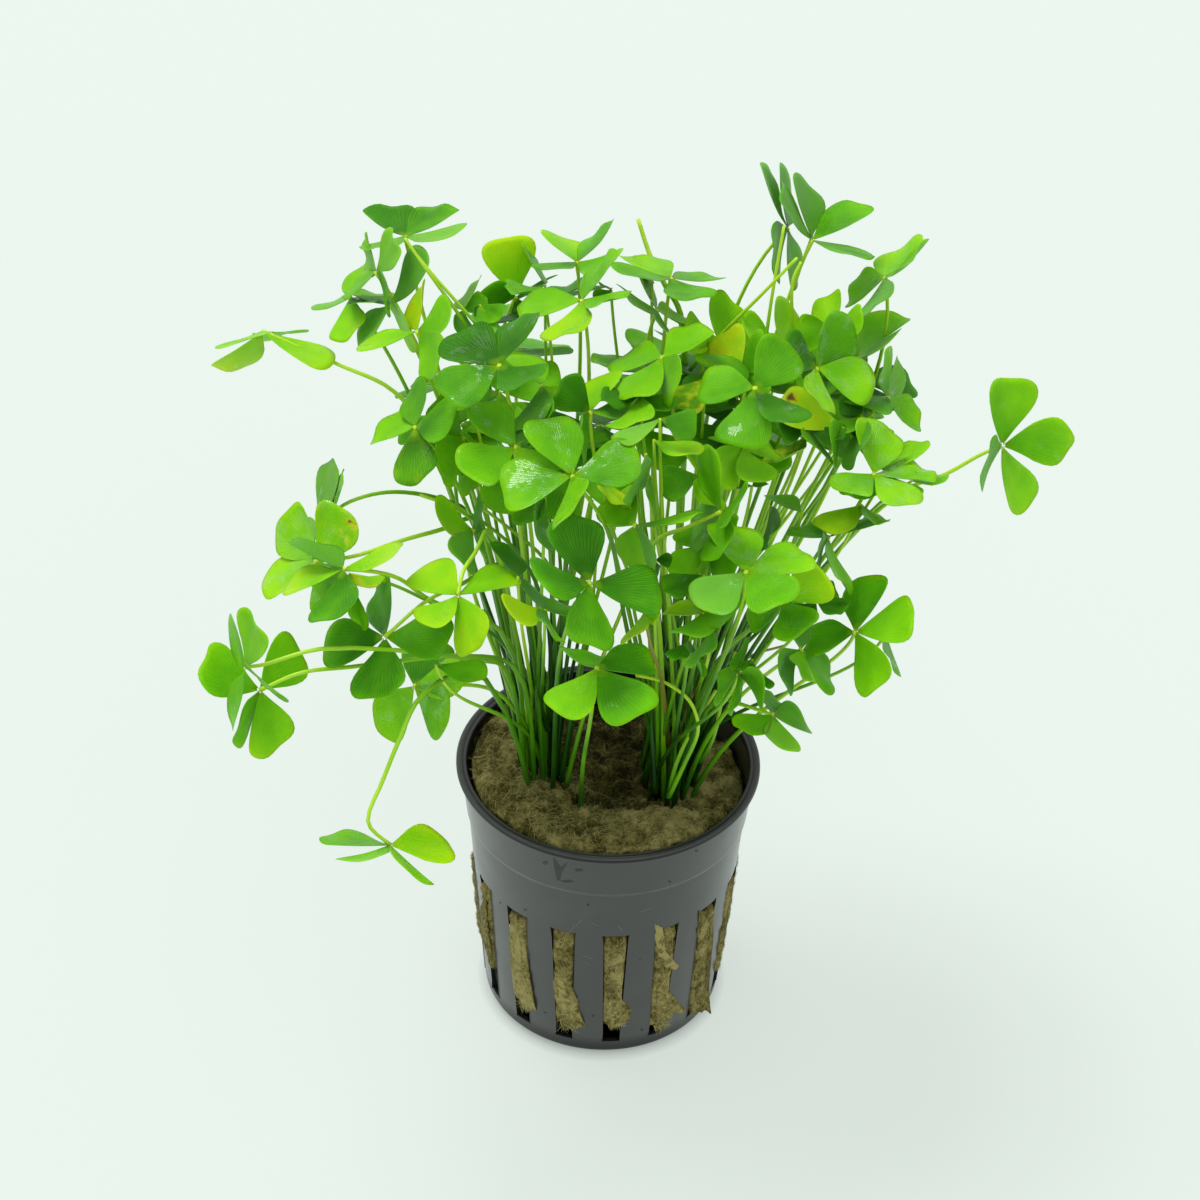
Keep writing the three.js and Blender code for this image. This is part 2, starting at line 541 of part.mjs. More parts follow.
// Height of the wool's top: a rolled collar at the front left, sunk at the back right
function woolTop(x, y) {
  const r = Math.hypot(x, y) / RIM_RADIUS;
  const towardsBackRight = (x * 0.75 + y * 0.66) / RIM_RADIUS;
  const collar = COLLAR_RISE * Math.exp(-(((r - 0.72) / 0.16) ** 2)) * Math.max(0, 0.6 - towardsBackRight);
  return WOOL_TOP - BACK_SINK * Math.max(0, towardsBackRight) + collar;
}

function tuftPocket({ centre, half }) {
  const edge = STEM_RADIUS + GAP + POCKET_ROOM;
  const outline = new THREE.Shape();
  outline.absellipse(centre[0], centre[1], half[0] + edge, half[1] + edge, 0, 2 * Math.PI);
  const depth = POT_HEIGHT - POCKET_FLOOR;
  const pocket = new THREE.ExtrudeGeometry(outline, { depth, bevelEnabled: false, curveSegments: 8 });
  return toSolid(pocket.translate(0, 0, POCKET_FLOOR));
}

function buildWool(stemRooms) {
  const rim = wallInside(WOOL_TOP) - GAP;
  const foot = wallInside(WOOL_BOTTOM) - GAP;
  const profile = [[0, WOOL_BOTTOM], [foot * 0.8, WOOL_BOTTOM], [foot, WOOL_BOTTOM + 1.5],
    [rim, WOOL_TOP - 3], [rim - 0.6, WOOL_TOP - 0.5], [rim * 0.86, WOOL_TOP], [rim * 0.62, WOOL_TOP],
    [rim * 0.3, WOOL_TOP], [0, WOOL_TOP]].map(([r, z]) => new THREE.Vector2(r, z));
  const turned = turnedUpright(profile);
  const place = turned.attributes.position;
  for (let i = 0; i < place.count; i += 1) {
    const [x, y, z] = [place.getX(i), place.getY(i), place.getZ(i)];
    const lift = THREE.MathUtils.smoothstep(z, WOOL_TOP - 4, WOOL_TOP);
    place.setZ(i, z + lift * (woolTop(x, y) - WOOL_TOP));
  }
  const slotTaper = (SLOT_TOP_WIDTH - SLOT_BOTTOM_WIDTH) / (SLOT_TOP - SLOT_BOTTOM);
  const tabWidth = (z) => SLOT_BOTTOM_WIDTH + slotTaper * (z - SLOT_BOTTOM) - TAB_NARROWING;
  const tabs = [];
  for (let i = 0; i < SLOT_COUNT; i += 1) {
    tabs.push(radialBlock(i, [TAB_BOTTOM, TAB_TOP], [tabWidth(TAB_BOTTOM), tabWidth(TAB_TOP)],
      [foot - TAB_ROOT, wallInside(TAB_BOTTOM) + WALL]));
  }
  const room = wasm.Manifold.union([...Object.values(TUFTS).map(tuftPocket), ...stemRooms]);
  const plug = toSolid(turned).add(wasm.Manifold.union(tabs));
  return largestPiece(plug.subtract(room));
}

const { solids, stalk, stemRooms } = buildFronds();
const model = new THREE.Group();
model.add(toMesh('pot', buildPot(), blackPlastic));
model.add(toMesh('rock_wool', buildWool(stemRooms), fibre));
solids.forEach((solid, i) => {
  model.add(toMesh(`frond_${String(i + 1).padStart(2, '0')}`, solid, green));
});
model.add(toMesh('bare_stalk', stalk, green));

export default model;
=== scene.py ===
import math

import bpy
import numpy as np
from mathutils import Matrix, Vector, noise


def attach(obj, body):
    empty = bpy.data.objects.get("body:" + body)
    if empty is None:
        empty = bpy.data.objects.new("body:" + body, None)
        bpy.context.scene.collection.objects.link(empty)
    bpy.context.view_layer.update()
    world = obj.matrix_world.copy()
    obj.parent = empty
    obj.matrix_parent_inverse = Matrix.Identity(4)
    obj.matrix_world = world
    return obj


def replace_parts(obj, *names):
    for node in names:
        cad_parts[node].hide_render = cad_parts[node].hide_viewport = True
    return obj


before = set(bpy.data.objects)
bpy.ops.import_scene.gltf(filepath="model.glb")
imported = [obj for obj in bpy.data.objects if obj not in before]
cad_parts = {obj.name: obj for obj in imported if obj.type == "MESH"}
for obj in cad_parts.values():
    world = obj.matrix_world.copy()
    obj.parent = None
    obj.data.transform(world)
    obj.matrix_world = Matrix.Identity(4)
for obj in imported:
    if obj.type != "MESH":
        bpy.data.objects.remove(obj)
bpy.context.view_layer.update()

MM = 0.001

# Pot, in millimetres as in the solids
POT_HEIGHT = 50.7
RIM_RADIUS = 26.0
LIP_HEIGHT = 1.0
LIP_OVERHANG = 0.9
WALL = 1.0
SHOULDER_DROP = 9.7
SHOULDER_HEIGHT = POT_HEIGHT - SHOULDER_DROP
SHOULDER_RADIUS = 24.3
SHOULDER_STEP = 0.35
TOE_RADIUS = 21.0
TOE_HEIGHT = 2.6
FOOT_RADIUS = 18.6
SLOT_COUNT = 16
SLOT_TURN = math.radians(5.3)
SLOT_PITCH = 2 * math.pi / SLOT_COUNT
SLOT_TOP = 30.7
SLOT_BOTTOM = 3.6
SLOT_TOP_WIDTH = 4.4
SLOT_BOTTOM_WIDTH = 3.0
WOOL_TOP = 48.6

# Crown of fronds: an ellipsoid, and the depth that loose fronds keep in front of
CROWN_RADIUS = 50.0
CROWN_HALF_HEIGHT = 40.0
CROWN_MIDDLE = 112.0
BACK_LIMIT = 28.0
BLADE_LENGTH = 10.8

# Stems: how deep in the wool they start, how far they rise before their first picture point, the
# shares of a free one's reach that its bends take, and their mesh
STEM_SINK = 2.5
STEM_RISE = 7.0
STEM_LEAVE = 0.4
STEM_ARRIVE = 0.25
STEM_SHARES = np.linspace(0, 1, 28)
STEM_SIDES = 8

# Half thickness of a stem at its foot and at its hub, where a thick one ends in a knot
FROND_STEM = (0.5, 0.28)
SMALL_STEM = (0.42, 0.24)
THICK_STEM = 0.45
KNOT_RADIUS = 0.42

# How a frond is fitted to its solid: steps along the line of sight, sideways bends of its stem, how
# far the solid's corners stand off the stem's middle line, and how exactly
SETTLE_STEPS = [0, 2, -2, 4, -4, 6, -6, 8, -8, 10, -10]
STEM_SWAYS = [0, 3, -3, 6, -6]
CORNER_OFF = 0.40
CORNER_SLACK = 0.12

# Front picture: a square of 1200 px seen through a long lens that looks down and leans a little
EYE_PITCH = math.radians(37.15)
EYE_ROLL = math.radians(1.72)
EYE_DISTANCE = 512.8
FOCAL_PX = 3000.0
PICTURE_PX = 1200.0
MIDDLE_PX = PICTURE_PX / 2
RIM_PX = (608.3, 757.6)
SENSOR = 36.0

# Tufts where the stems leave the wool: centre and half widths
TUFTS = {"left": ((-11.0, 0.5), (4.0, 6.4)), "right": ((10.5, 1.5), (5.2, 9.0))}


def clover(hub, tips, layer, tones="4343", wide=(0, 0, 0, 0), **more):
    """A frond in picture coordinates: hub, leaflet tips in turn, layer (1 front of the crown, -1 its
    back), and for each leaflet a digit for how bright a green it is and how many pixels wide it looks (0
    leaves it as it lies). More may hold the stem's picture points, each with its share of the way from
    base to hub, how much nearer the frond stands, its tuft if not the right one, how brown its stem is,
    which leaflets are aged, grey or bright, and whether the four stand square as a cross."""
    return dict(hub=hub, tips=tips, layer=layer, tones=tones, wide=wide, **more)


# Fronds by node number
FRONDS = [
    clover((597, 668), [(558, 712), (640, 715), (649, 657), (577, 645)], 1, "6434", (44, 55, 38, 30),
           stem=[(583, 765, 0.2), (590, 722, 0.55)]),
    clover((590, 583), [(573, 513), (663, 592), (592, 645), (538, 576)], 0.95, "2243", (55, 45, 42, 36)),
    clover((572, 476), [(500, 487), (548, 416), (637, 456), (568, 513)], 0.85, "6546", (46, 56, 45, 33),
           stem=[(625, 620, 0.4), (606, 527, 0.85)]),
    clover((499, 365), [(452, 332), (522, 308), (532, 384), (443, 393)], 0.8, "1123", (52, 38, 45, 48)),
    clover((516, 447), [(463, 470), (480, 404), (536, 405), (550, 478)], 0.7, "6536", (48, 40, 28, 0)),
    clover((577, 262), [(541, 268), (560, 232), (604, 222), (612, 262)], -0.1, "3746", (14, 30, 20, 24)),
    clover((582, 300), [(521, 304), (601, 255), (619, 297), (562, 338)], 0.2, "6568", (30, 26, 22, 36)),
    clover((516, 297), [(507, 236), (548, 285), (525, 335), (482, 305)], -0.3, "9445", (50, 12, 30, 30)),
    clover((405, 236), [(385, 204), (446, 202), (459, 231), (375, 246)], -0.1, "2376", (46, 30, 14, 10)),
    clover((376, 272), [(362, 249), (398, 240), (392, 302), (345, 286)], -0.1, "6746", (18, 28, 14, 18)),
    clover((350, 298), [(324, 303), (345, 337), (376, 302), (356, 268)], 0.1, "5756", (12, 34, 16, 18)),
    clover((390, 305), [(426, 252), (405, 336), (357, 338), (364, 290)], 0.2, "4756", (30, 10, 20, 24)),
    clover((417, 331), [(413, 291), (450, 309), (432, 366), (360, 345)], 0.4, "9667", (16, 32, 36, 14)),
    clover((671, 278), [(637, 250), (712, 273), (697, 297), (623, 268)], 0, "7544", (30, 16, 30, 10)),
    clover((657, 310), [(625, 294), (643, 270), (688, 318), (672, 338)], 0.2, "6676", (16, 12, 16, 12)),
    clover((662, 357), [(702, 325), (616, 355), (630, 398), (676, 390)], 0.5, "6666", (30, 32, 36, 34)),
    clover((812, 240), [(872, 257), (858, 202), (808, 180), (782, 190)], -0.2, "4422", (12, 27, 20, 14)),
    clover((788, 228), [(768, 162), (776, 262), (800, 282), (790, 178)], -0.3, "4353", (9, 20, 16, 15)),
    clover((885, 277), [(924, 248), (902, 240), (848, 291), (868, 313)], 0, "5764", (6, 36, 26, 20)),
    clover((817, 368), [(822, 407), (874, 385), (848, 323), (790, 345)], 0.5, "7642", (30, 44, 42, 36)),
    clover((855, 355), [(892, 340), (890, 308), (820, 372), (822, 398)], 0.2, "6655", (16, 36, 0, 0)),
    clover((888, 397), [(919, 420), (903, 372), (885, 353), (863, 403)], 0.3, "6553", (22, 22, 20, 24)),
    clover((755, 388), [(789, 347), (700, 382), (740, 447), (797, 425)], 0.75, "4542", (56, 40, 52, 34)),
    clover((843, 428), [(869, 430), (838, 398), (783, 398), (832, 452)], 0.4, "3394", (26, 0, 40, 20)),
    clover((729, 346), [(776, 340), (686, 334), (681, 353), (773, 360)], -0.58),
    clover((789, 431), [(813, 426), (732, 417), (764, 437), (847, 446)], -0.88),
    clover((717, 338), [(750, 345), (728, 299), (690, 330), (715, 370)], 0, "7775", (0, 38, 34, 0)),
    clover((782, 345), [(815, 350), (790, 304), (750, 326), (780, 378)], 0.1, "3875", (34, 30, 24, 0)),
    clover((832, 330), [(862, 318), (824, 297), (800, 335), (840, 360)], -0.1, "6865", (30, 38, 0, 0)),
    clover((874, 474), [(912, 498), (931, 468), (880, 424), (842, 490)], 0.5, "7676", (30, 18, 50, 38)),
    clover((1002, 446), [(1030, 508), (1072, 438), (1015, 377), (985, 470)], 0, "7664", (34, 46, 44, 18),
           stem=[(830, 560, 0.35), (905, 490, 0.65), (946, 474, 0.82), (982, 454, 0.95)]),
    clover((262, 331), [(228, 374), (238, 340), (334, 362), (288, 332)], 0, "9787", (30, 4, 22, 4),
           stem=[(430, 440, 0.6), (392, 390, 0.75), (337, 364, 0.9)]),
    clover((415, 427), [(451, 415), (411, 383), (379, 423), (412, 480)], 0.6, "4462", (38, 32, 36, 46)),
    clover((463, 438), [(432, 404), (437, 470), (478, 492), (490, 440)], 0.5, "5676", (42, 42, 30, 30)),
    clover((318, 530), [(340, 482), (329, 459), (300, 552), (318, 575)], 0, "6666", (15, 22, 0, 0),
           stem=[(470, 515, 0.45), (440, 499, 0.6), (400, 492, 0.75), (370, 495, 0.88), (342, 506, 0.97)]),
    clover((315, 562), [(345, 511), (281, 518), (262, 584), (332, 600)], 0.6, "6785", (50, 50, 34, 44),
           stem=[(478, 519, 0.35), (440, 530, 0.55), (400, 541, 0.75), (355, 556, 0.95)]),
    clover((343, 569), [(400, 546), (306, 540), (285, 584), (331, 621)], 0.9, "8383", (24, 26, 18, 42),
           stem=[(500, 630, 0.55), (430, 600, 0.75), (400, 579, 0.85), (376, 572, 0.95)]),
    clover((385, 637), [(449, 632), (376, 584), (320, 644), (374, 696)], 0.9, "4333", (50, 34, 50, 48),
           stem=[(505, 565, 0.5), (460, 585, 0.7), (425, 602, 0.85)]),
    clover((414, 686), [(462, 672), (433, 640), (380, 731), (445, 722)], 1, "7365", (42, 46, 46, 42),
           stem=[(512, 706, 0.45), (484, 687, 0.65)]),
    clover((390, 845), [(449, 844), (327, 836), (352, 861), (421, 880)], 0, "9667", (38, 12, 14, 8),
           stem=[(470, 670, 0.5), (418, 700, 0.75), (400, 738, 0.85), (383, 780, 0.92), (368, 822, 1)]),
    clover((458, 595), [(515, 567), (419, 562), (424, 621), (473, 647)], 0.7, "7888", (28, 50, 28, 42),
           stem=[(488, 530, 0.6), (475, 553, 0.75), (463, 572, 0.9)]),
    clover((473, 530), [(480, 505), (436, 512), (461, 564), (489, 548)], 0.2, "5866", (14, 32, 34, 18)),
    clover((457, 381), [(514, 368), (428, 377), (399, 396), (487, 386)], -0.55),
    clover((260, 690), [(302, 646), (203, 662), (238, 741), (279, 754)], 0, "6557", (50, 48, 16, 46),
           stem=[(512, 665, 0.35), (463, 656, 0.5), (350, 667, 0.82), (300, 673, 0.95)]),
    clover((245, 667), [(253, 620), (232, 629), (228, 720), (272, 690)], 0, "6555", (30, 11, 9, 4),
           stem=[(505, 669, 0.25), (478, 660, 0.4), (320, 649, 0.88), (262, 665, 0.97)], nearer=7),
    clover((855, 632), [(916, 617), (868, 576), (804, 637), (878, 689)], 0.6, "6446", (42, 40, 38, 40)),
    clover((801, 650), [(795, 611), (782, 680), (806, 674), (832, 681)], 0.4, "3364", (28, 28, 22, 26)),
    clover((783, 601), [(826, 573), (768, 568), (748, 618), (800, 632)], 0.6, "8655", (50, 42, 0, 0),
           stem=[(725, 652, 0.6), (760, 622, 0.85)]),
    clover((746, 572), [(808, 551), (732, 521), (700, 602), (783, 602)], 0.85, "6655", (38, 50, 50, 0)),
    clover((721, 512), [(738, 502), (704, 447), (692, 532), (712, 552)], 0.6, "4555", (24, 26, 40, 24),
           stem=[(650, 640, 0.3), (655, 542, 0.75), (688, 527, 0.88)]),
    clover((635, 525), [(700, 516), (612, 498), (626, 570), (657, 572)], 0.75, "6665", (12, 0, 38, 14)),
    clover((631, 395), [(689, 392), (605, 383), (573, 399), (659, 408)], -0.59),
    clover((828, 537), [(883, 514), (795, 526), (818, 557), (846, 590)], 0.4, "4535", (10, 22, 12, 17)),
    clover((773, 715), [(809, 716), (771, 692), (743, 727), (786, 751)], 0.7, "5466", (34, 24, 32, 32),
           stem=[(718, 699, 0.6), (740, 704, 0.8)]),
    clover((835, 393), [(890, 402), (806, 375), (780, 384), (866, 411)], -0.81),
    clover((513, 348), [(557, 338), (467, 342), (467, 359), (560, 355)], -0.57),
    clover((590, 412), [(650, 408), (602, 372), (562, 385), (582, 450)], 0.6, "6824", (26, 32, 42, 20)),
]

# Stems without leaflets: picture points with how far back each lies, half thickness, brightness and
# how brown it is
STEMS = [
    ([(530, 700, -4), (513, 655, -8), (500, 640, -10), (481, 611, -12), (458, 640, -14)], 0.42, 0.3, 0.0),
    ([(541, 720, -4), (524, 680, -7), (497, 632, -10)], 0.5, 0.0, 0.0),
    ([(548, 730, -5), (534, 690, -8), (508, 640, -9)], 0.5, 0.1, 0.0),
    ([(668, 797, -14), (676, 765, -15), (690, 733, -14), (716, 690, -10)], 0.42, 0.7, 0.0),
    ([(700, 762, -8), (713, 738, -9), (722, 700, -8), (735, 652, -6)], 0.4, 0.8, 0.0),
    ([(672, 760, -6), (690, 700, -6), (725, 652, -4), (778, 612, 0)], 0.32, 0.5, 0.85),
    ([(700, 745, -2), (745, 660, -3), (786, 645, -1)], 0.3, 0.5, 0.7),
    ([(783, 627, -2), (783, 612, 0)], 0.3, 0.5, 0.9),
    ([(669, 797, -15), (684, 765, -16), (697, 735, -17), (697, 718, -18), (687, 698, -19), (664, 682, -19),
      (636, 675, -17)], 0.38, 1.1, 0.0),
    ([(690, 370, 13), (723, 333, 10), (760, 296, 8), (797, 258, 7)], 0.36, 1.3, 0.0),
    ([(792, 380, 7), (792, 320, 9), (793, 280, 10), (801, 262, 11)], 0.34, 1.2, 0.0),
    ([(758, 390, 7), (767, 330, 9), (773, 290, 10), (784, 226, 12)], 0.34, 1.1, 0.0),
    ([(480, 345, 5), (450, 302, 6), (424, 266, 7), (405, 238, 8)], 0.32, 1.2, 0.0),
    ([(500, 350, 5), (463, 309, 6), (434, 276, 7), (414, 252, 8)], 0.32, 1.2, 0.0),
    ([(556, 778, -4), (562, 705, -2), (570, 640, 0), (585, 560, 4), (592, 500, 8)], 0.4, 0.2, 0.0),
    ([(561, 782, -5), (572, 712, -3), (583, 650, -1), (604, 570, 3), (622, 495, 7)], 0.42, 0.5, 0.0),
    ([(566, 785, -7), (582, 722, -6), (597, 672, -4), (622, 610, -2), (650, 540, 2)], 0.42, 0.9, 0.0),
    ([(550, 772, -2), (556, 690, 0), (562, 630, 2), (560, 560, 5), (552, 480, 8)], 0.4, 0.1, 0.0),
    ([(566, 765, -1), (578, 690, 1), (590, 630, 3), (596, 560, 6)], 0.38, 0.4, 0.0),
    ([(555, 765, 0), (568, 690, 3), (580, 630, 5), (586, 560, 8)], 0.38, 0.0, 0.0),
    ([(655, 792, -10), (652, 730, -8), (650, 690, -5), (640, 640, 0), (632, 600, 4)], 0.42, 0.3, 0.0),
    ([(545, 700, -6), (528, 600, -10), (495, 540, -12), (455, 508, -12), (420, 495, -10)], 0.36, 0.5, 0.0),
    ([(552, 700, -5), (545, 610, -8), (520, 555, -9), (480, 520, -8), (440, 497, -6)], 0.36, 0.4, 0.0),
    ([(560, 690, -3), (560, 600, -5), (545, 560, -6), (505, 525, -6), (478, 505, -4)], 0.36, 0.6, 0.0),
]
STALK = clover((638, 219), [], -0.1, stem=[(681, 316, 0.6), (665, 285, 0.75), (650, 255, 0.9)])

# By frond number: leaflets that show their greyer underside, leaflets that let light through, how far
# leaflets have yellowed, how wet a frond is, and how bright a stem is where that matters
GREYS = {9: (2, 3), 10: (0, 1), 11: (0,), 12: (0, 2, 3), 15: (1,), 17: (2, 3), 18: (0, 1, 2, 3), 19: (3,),
         22: (1,), 31: (3,), 35: (0, 1), 37: (1,), 42: (2,), 47: (0,), 49: (2,), 50: (2,), 51: (3,),
         53: (1, 2), 54: (1,)}
BRIGHTS = {9: (0, 1), 20: (3,), 32: (0, 2, 3), 36: (0, 1, 2, 3), 37: (3,), 40: (0, 3), 42: (1,),
           43: (0, 1, 2, 3), 46: (0, 3)}
AGES = {8: {1: 0.02}, 13: {0: 0.13}, 24: {2: 0.035}, 33: {3: 0.03}, 36: {0: 0.05}, 37: {0: 0.02}}
WET = {3: 0.9, 4: 0.5, 5: 0.6, 7: 0.5, 13: 0.5, 20: 0.9, 22: 0.5, 23: 0.5, 30: 1.0, 34: 0.5, 36: 0.9,
       38: 0.2, 39: 0.6, 48: 0.9, 49: 0.8}
STEM_TONES = {1: 0.3, 17: 0.8, 18: 0.5, 31: 1.0, 32: 1.0, 35: 0.5, 36: 1.0, 37: 0.8, 44: 0.7, 45: 0.7}

# Patches where a leaflet has gone yellow or brown, by frond: leaflet, picture point, radius in pixels
# and how worn it is in the middle
PATCHES = {20: [(0, (836, 404), 6, 0.3)], 24: [(2, (792, 396), 7, 0.7), (2, (812, 420), 8, 0.25)],
           36: [(0, (357, 532), 22, 0.22), (0, (354, 525), 8, 0.8)]}

# Fronds that the others hide: tilt in degrees and leaflet length, then picture point and layer of each
INNER_TILT = (10, 35)
INNER_LENGTH = (9.5, 10.8)
INNER = [
    (500, 392, 0.1), (515, 455, 0.25), (458, 425, 0.1), (570, 470, 0.3), (600, 425, 0.1), (655, 372, -0.1),
    (745, 405, 0.2), (815, 385, 0.0), (700, 440, 0.1), (740, 428, 0.1), (850, 432, 0.0),
    (545, 300, -0.35), (690, 350, -0.3), (790, 355, -0.3), (860, 380, -0.3), (590, 440, -0.2),
]

# Smaller, folded, torn and half hidden leaflets between the fronds; most are what is left to see of one
LOOSE = [
    clover((743, 447), [(775, 440), (722, 425), (722, 476), (762, 480)], 0.55, "6676", (36, 0, 34, 32),
           cross=True),
    clover((740, 372), [(765, 345), (720, 334), (705, 395), (760, 405)], 0.3, "5955", (0, 46, 0, 0),
           ages={1: 0.11}, cross=True),
    clover((545, 610), [(577, 606), (528, 582), (506, 614), (552, 633)], 0.6, "5496", (24, 20, 34, 16),
           tuft="left", ages={2: 0.06}, cross=True),
    clover((703, 546), [(738, 530), (690, 520), (668, 580), (728, 580)], 0.5, "5566", (0, 0, 36, 34),
           cross=True),
    clover((738, 674), [(738, 643), (718, 690), (733, 709), (764, 693)], 0.6, "4545", (12, 16, 10, 26),
           cross=True),
    clover((703, 613), [(738, 612), (722, 588), (673, 601), (690, 640)], 0.6, "5596", (0, 0, 28, 0),
           cross=True),
    clover((463, 310), [(467, 281), (487, 302), (470, 335)], 0.1, "643", (24, 20, 20), tuft="left",
           brights=(0,)),
    clover((545, 285), [(531, 252), (505, 290)], -0.1, "45", (12, 9), tuft="left", greys=(0, 1)),
    clover((884, 474), [(914, 440), (911, 498), (852, 497)], 0.42, "776", (30, 26, 30)),
    clover((862, 505), [(824, 527), (880, 524)], 0.3, "97", (34, 14), brights=(0,)),
    clover((700, 476), [(662, 486), (690, 436), (722, 448), (712, 505)], 0.5, "3866", (38, 24, 22, 20)),
    clover((712, 630), [(697, 660), (690, 628)], 0.55, "76", (17, 14), greys=(0,)),
    clover((752, 660), [(766, 682), (733, 668)], 0.5, "35", (15, 12)),
    clover((644, 613), [(630, 638), (658, 618)], 0.8, "98", (15, 13),
           stem=[(661, 677, 0.5), (652, 650, 0.75)], brown=0.8),
    clover((651, 476), [(652, 507)], 0.5, "6", (14,)),
    clover((752, 486), [(726, 479), (765, 478)], 0.4, "34", (14, 12), greys=(0,)),
    clover((436, 665), [(486, 672)], 0.8, "5", (28,), tuft="left"),
    clover((601, 476), [(622, 503)], 0.6, "9", (15,), ages={0: 0.12}),
    clover((646, 454), [(633, 498)], 0.62, "3", (20,), greys=(0,)),
    clover((706, 378), [(674, 404)], 0.42, "3", (34,), ages={0: 0.12}),
    clover((806, 436), [(774, 462)], 0.32, "4", (24,), ages={0: 0.1}),
    clover((771, 506), [(768, 541)], 0.2, "2", (16,)),
    clover((886, 634), [(895, 665)], 0.5, "4", (9,), greys=(0,)),
    clover((660, 419), [(618, 438), (696, 426)], 0.8, "73", (15, 30), greys=(0,)),
    clover((654, 440), [(698, 456)], 0.72, "8", (22,)),
    clover((802, 512), [(775, 490)], 0.3, "5", (18,), greys=(0,)),
    clover((349, 574), [(380, 586), (360, 620)], 0.8, "75", (18, 14), tuft="left",
           stem=[(500, 640, 0.5), (430, 602, 0.75), (385, 582, 0.93)], ages={0: 0.15}),
    clover((545, 498), [(546, 541), (520, 520)], 0.5, "34", (20, 18), tuft="left", greys=(0,)),
    clover((518, 577), [(506, 546)], 0.62, "3", (24,), tuft="left"),
    clover((912, 481), [(946, 474)], 0.25, "6", (16,), stem=[(830, 560, 0.4), (880, 503, 0.85)]),
    clover((704, 575), [(664, 586), (710, 545)], 0.62, "37", (26, 9)),
    clover((470, 382), [(440, 392), (455, 404)], 0.5, "87", (16, 20), tuft="left"),
    clover((640, 395), [(602, 400), (628, 428), (672, 408)], 0.5, "263", (26, 30, 24)),
    clover((542, 385), [(528, 428), (556, 398), (522, 355)], 0.55, "366", (34, 22, 26), tuft="left"),
    clover((652, 285), [(641, 262)], 0.1, "2", (13,), ages={0: 0.15}),
    clover((611, 290), [(605, 280), (596, 297)], 0.1, "34", (9, 12)),
    clover((480, 305), [(500, 318), (497, 338), (483, 324)], 0.2, "451", (34, 30, 12), tuft="left"),
    clover((808, 424), [(780, 432), (840, 440), (820, 455)], 0.4, "325", (24, 20, 18)),
    clover((862, 416), [(846, 398), (852, 458), (838, 430)], 0.35, "125", (30, 22, 20), greys=(1,)),
    clover((655, 560), [(640, 590), (672, 560), (636, 578)], 0.5, "323", (20, 16, 18)),
    clover((690, 640), [(672, 655), (700, 668)], 0.3, "33", (16, 14)),
    clover((816, 600), [(838, 590), (846, 612), (800, 616)], 0.4, "421", (34, 20, 24)),
    clover((746, 384), [(722, 350)], 0.5, "3", (28,)),
]


def unit(v):
    return v / np.linalg.norm(v)


# The eye of the front picture
forward = np.array([0, math.cos(EYE_PITCH), -math.sin(EYE_PITCH)])
level_up = np.array([0, math.sin(EYE_PITCH), math.cos(EYE_PITCH)])
right = np.array([1.0, 0, 0])
across = math.cos(EYE_ROLL) * right + math.sin(EYE_ROLL) * level_up
upward = -math.sin(EYE_ROLL) * right + math.cos(EYE_ROLL) * level_up


def sight(pixel):
    u, v = pixel
    return forward + (u - MIDDLE_PX) / FOCAL_PX * across - (v - MIDDLE_PX) / FOCAL_PX * upward


eye = np.array([0, 0, POT_HEIGHT]) - EYE_DISTANCE * sight(RIM_PX)


def seen_at(points):
    """Where points show in the front picture."""
    off = points - eye
    depth = off @ forward
    return np.column_stack([MIDDLE_PX + FOCAL_PX * (off @ across) / depth,
                            MIDDLE_PX - FOCAL_PX * (off @ upward) / depth])


def depth_in_crown(pixel, layer):
    """How far along its line of sight a picture point meets the crown at a given layer."""
    scale = np.array([1 / CROWN_RADIUS, 1 / CROWN_RADIUS, 1 / CROWN_HALF_HEIGHT])
    start = (eye - [0, 0, CROWN_MIDDLE]) * scale
    along = sight(pixel) * scale
    a, b, c = along @ along, start @ along, start @ start - 1
    half = math.sqrt(max(0, b * b - a * c)) / a
    return -b / a - layer * half


def at_depth(pixel, depth):
    return eye + sight(pixel) * depth


def in_crown(frond):
    """A frond's hub, in its layer of the crown."""
    return at_depth(frond["hub"], depth_in_crown(frond["hub"], frond["layer"]))


def at_y(pixel, y):
    """The point on a line of sight that lies this far back."""
    ray = sight(pixel)
    return eye + ray * (y - eye[1]) / ray[1]


def picture_arm(frond, tip, depth):
    """From hub to tip in the picture, to the right and up, in millimetres at a depth."""
    return (np.array(tip) - frond["hub"]) * [1, -1] * depth / FOCAL_PX


# Fronds


def blade(number, tip, above):
    """A leaflet from its hub to a tip: its axis, side, face and length."""
    axis = unit(tip)
    side = unit(np.cross(above, axis))
    return dict(number=number, axis=axis, side=side, face=np.cross(axis, side), length=np.linalg.norm(tip))


def tilt_of_axes(first, second):
    """Depth differences of two crossing leaflet axes that make them square and equal in length."""
    dot = first @ second
    longer = second @ second - first @ first
    root = math.sqrt((longer + math.sqrt(longer * longer + 4 * dot * dot)) / 2)
    return (root, -dot / root) if root > 1e-6 else (0, math.sqrt(max(0, -longer)))


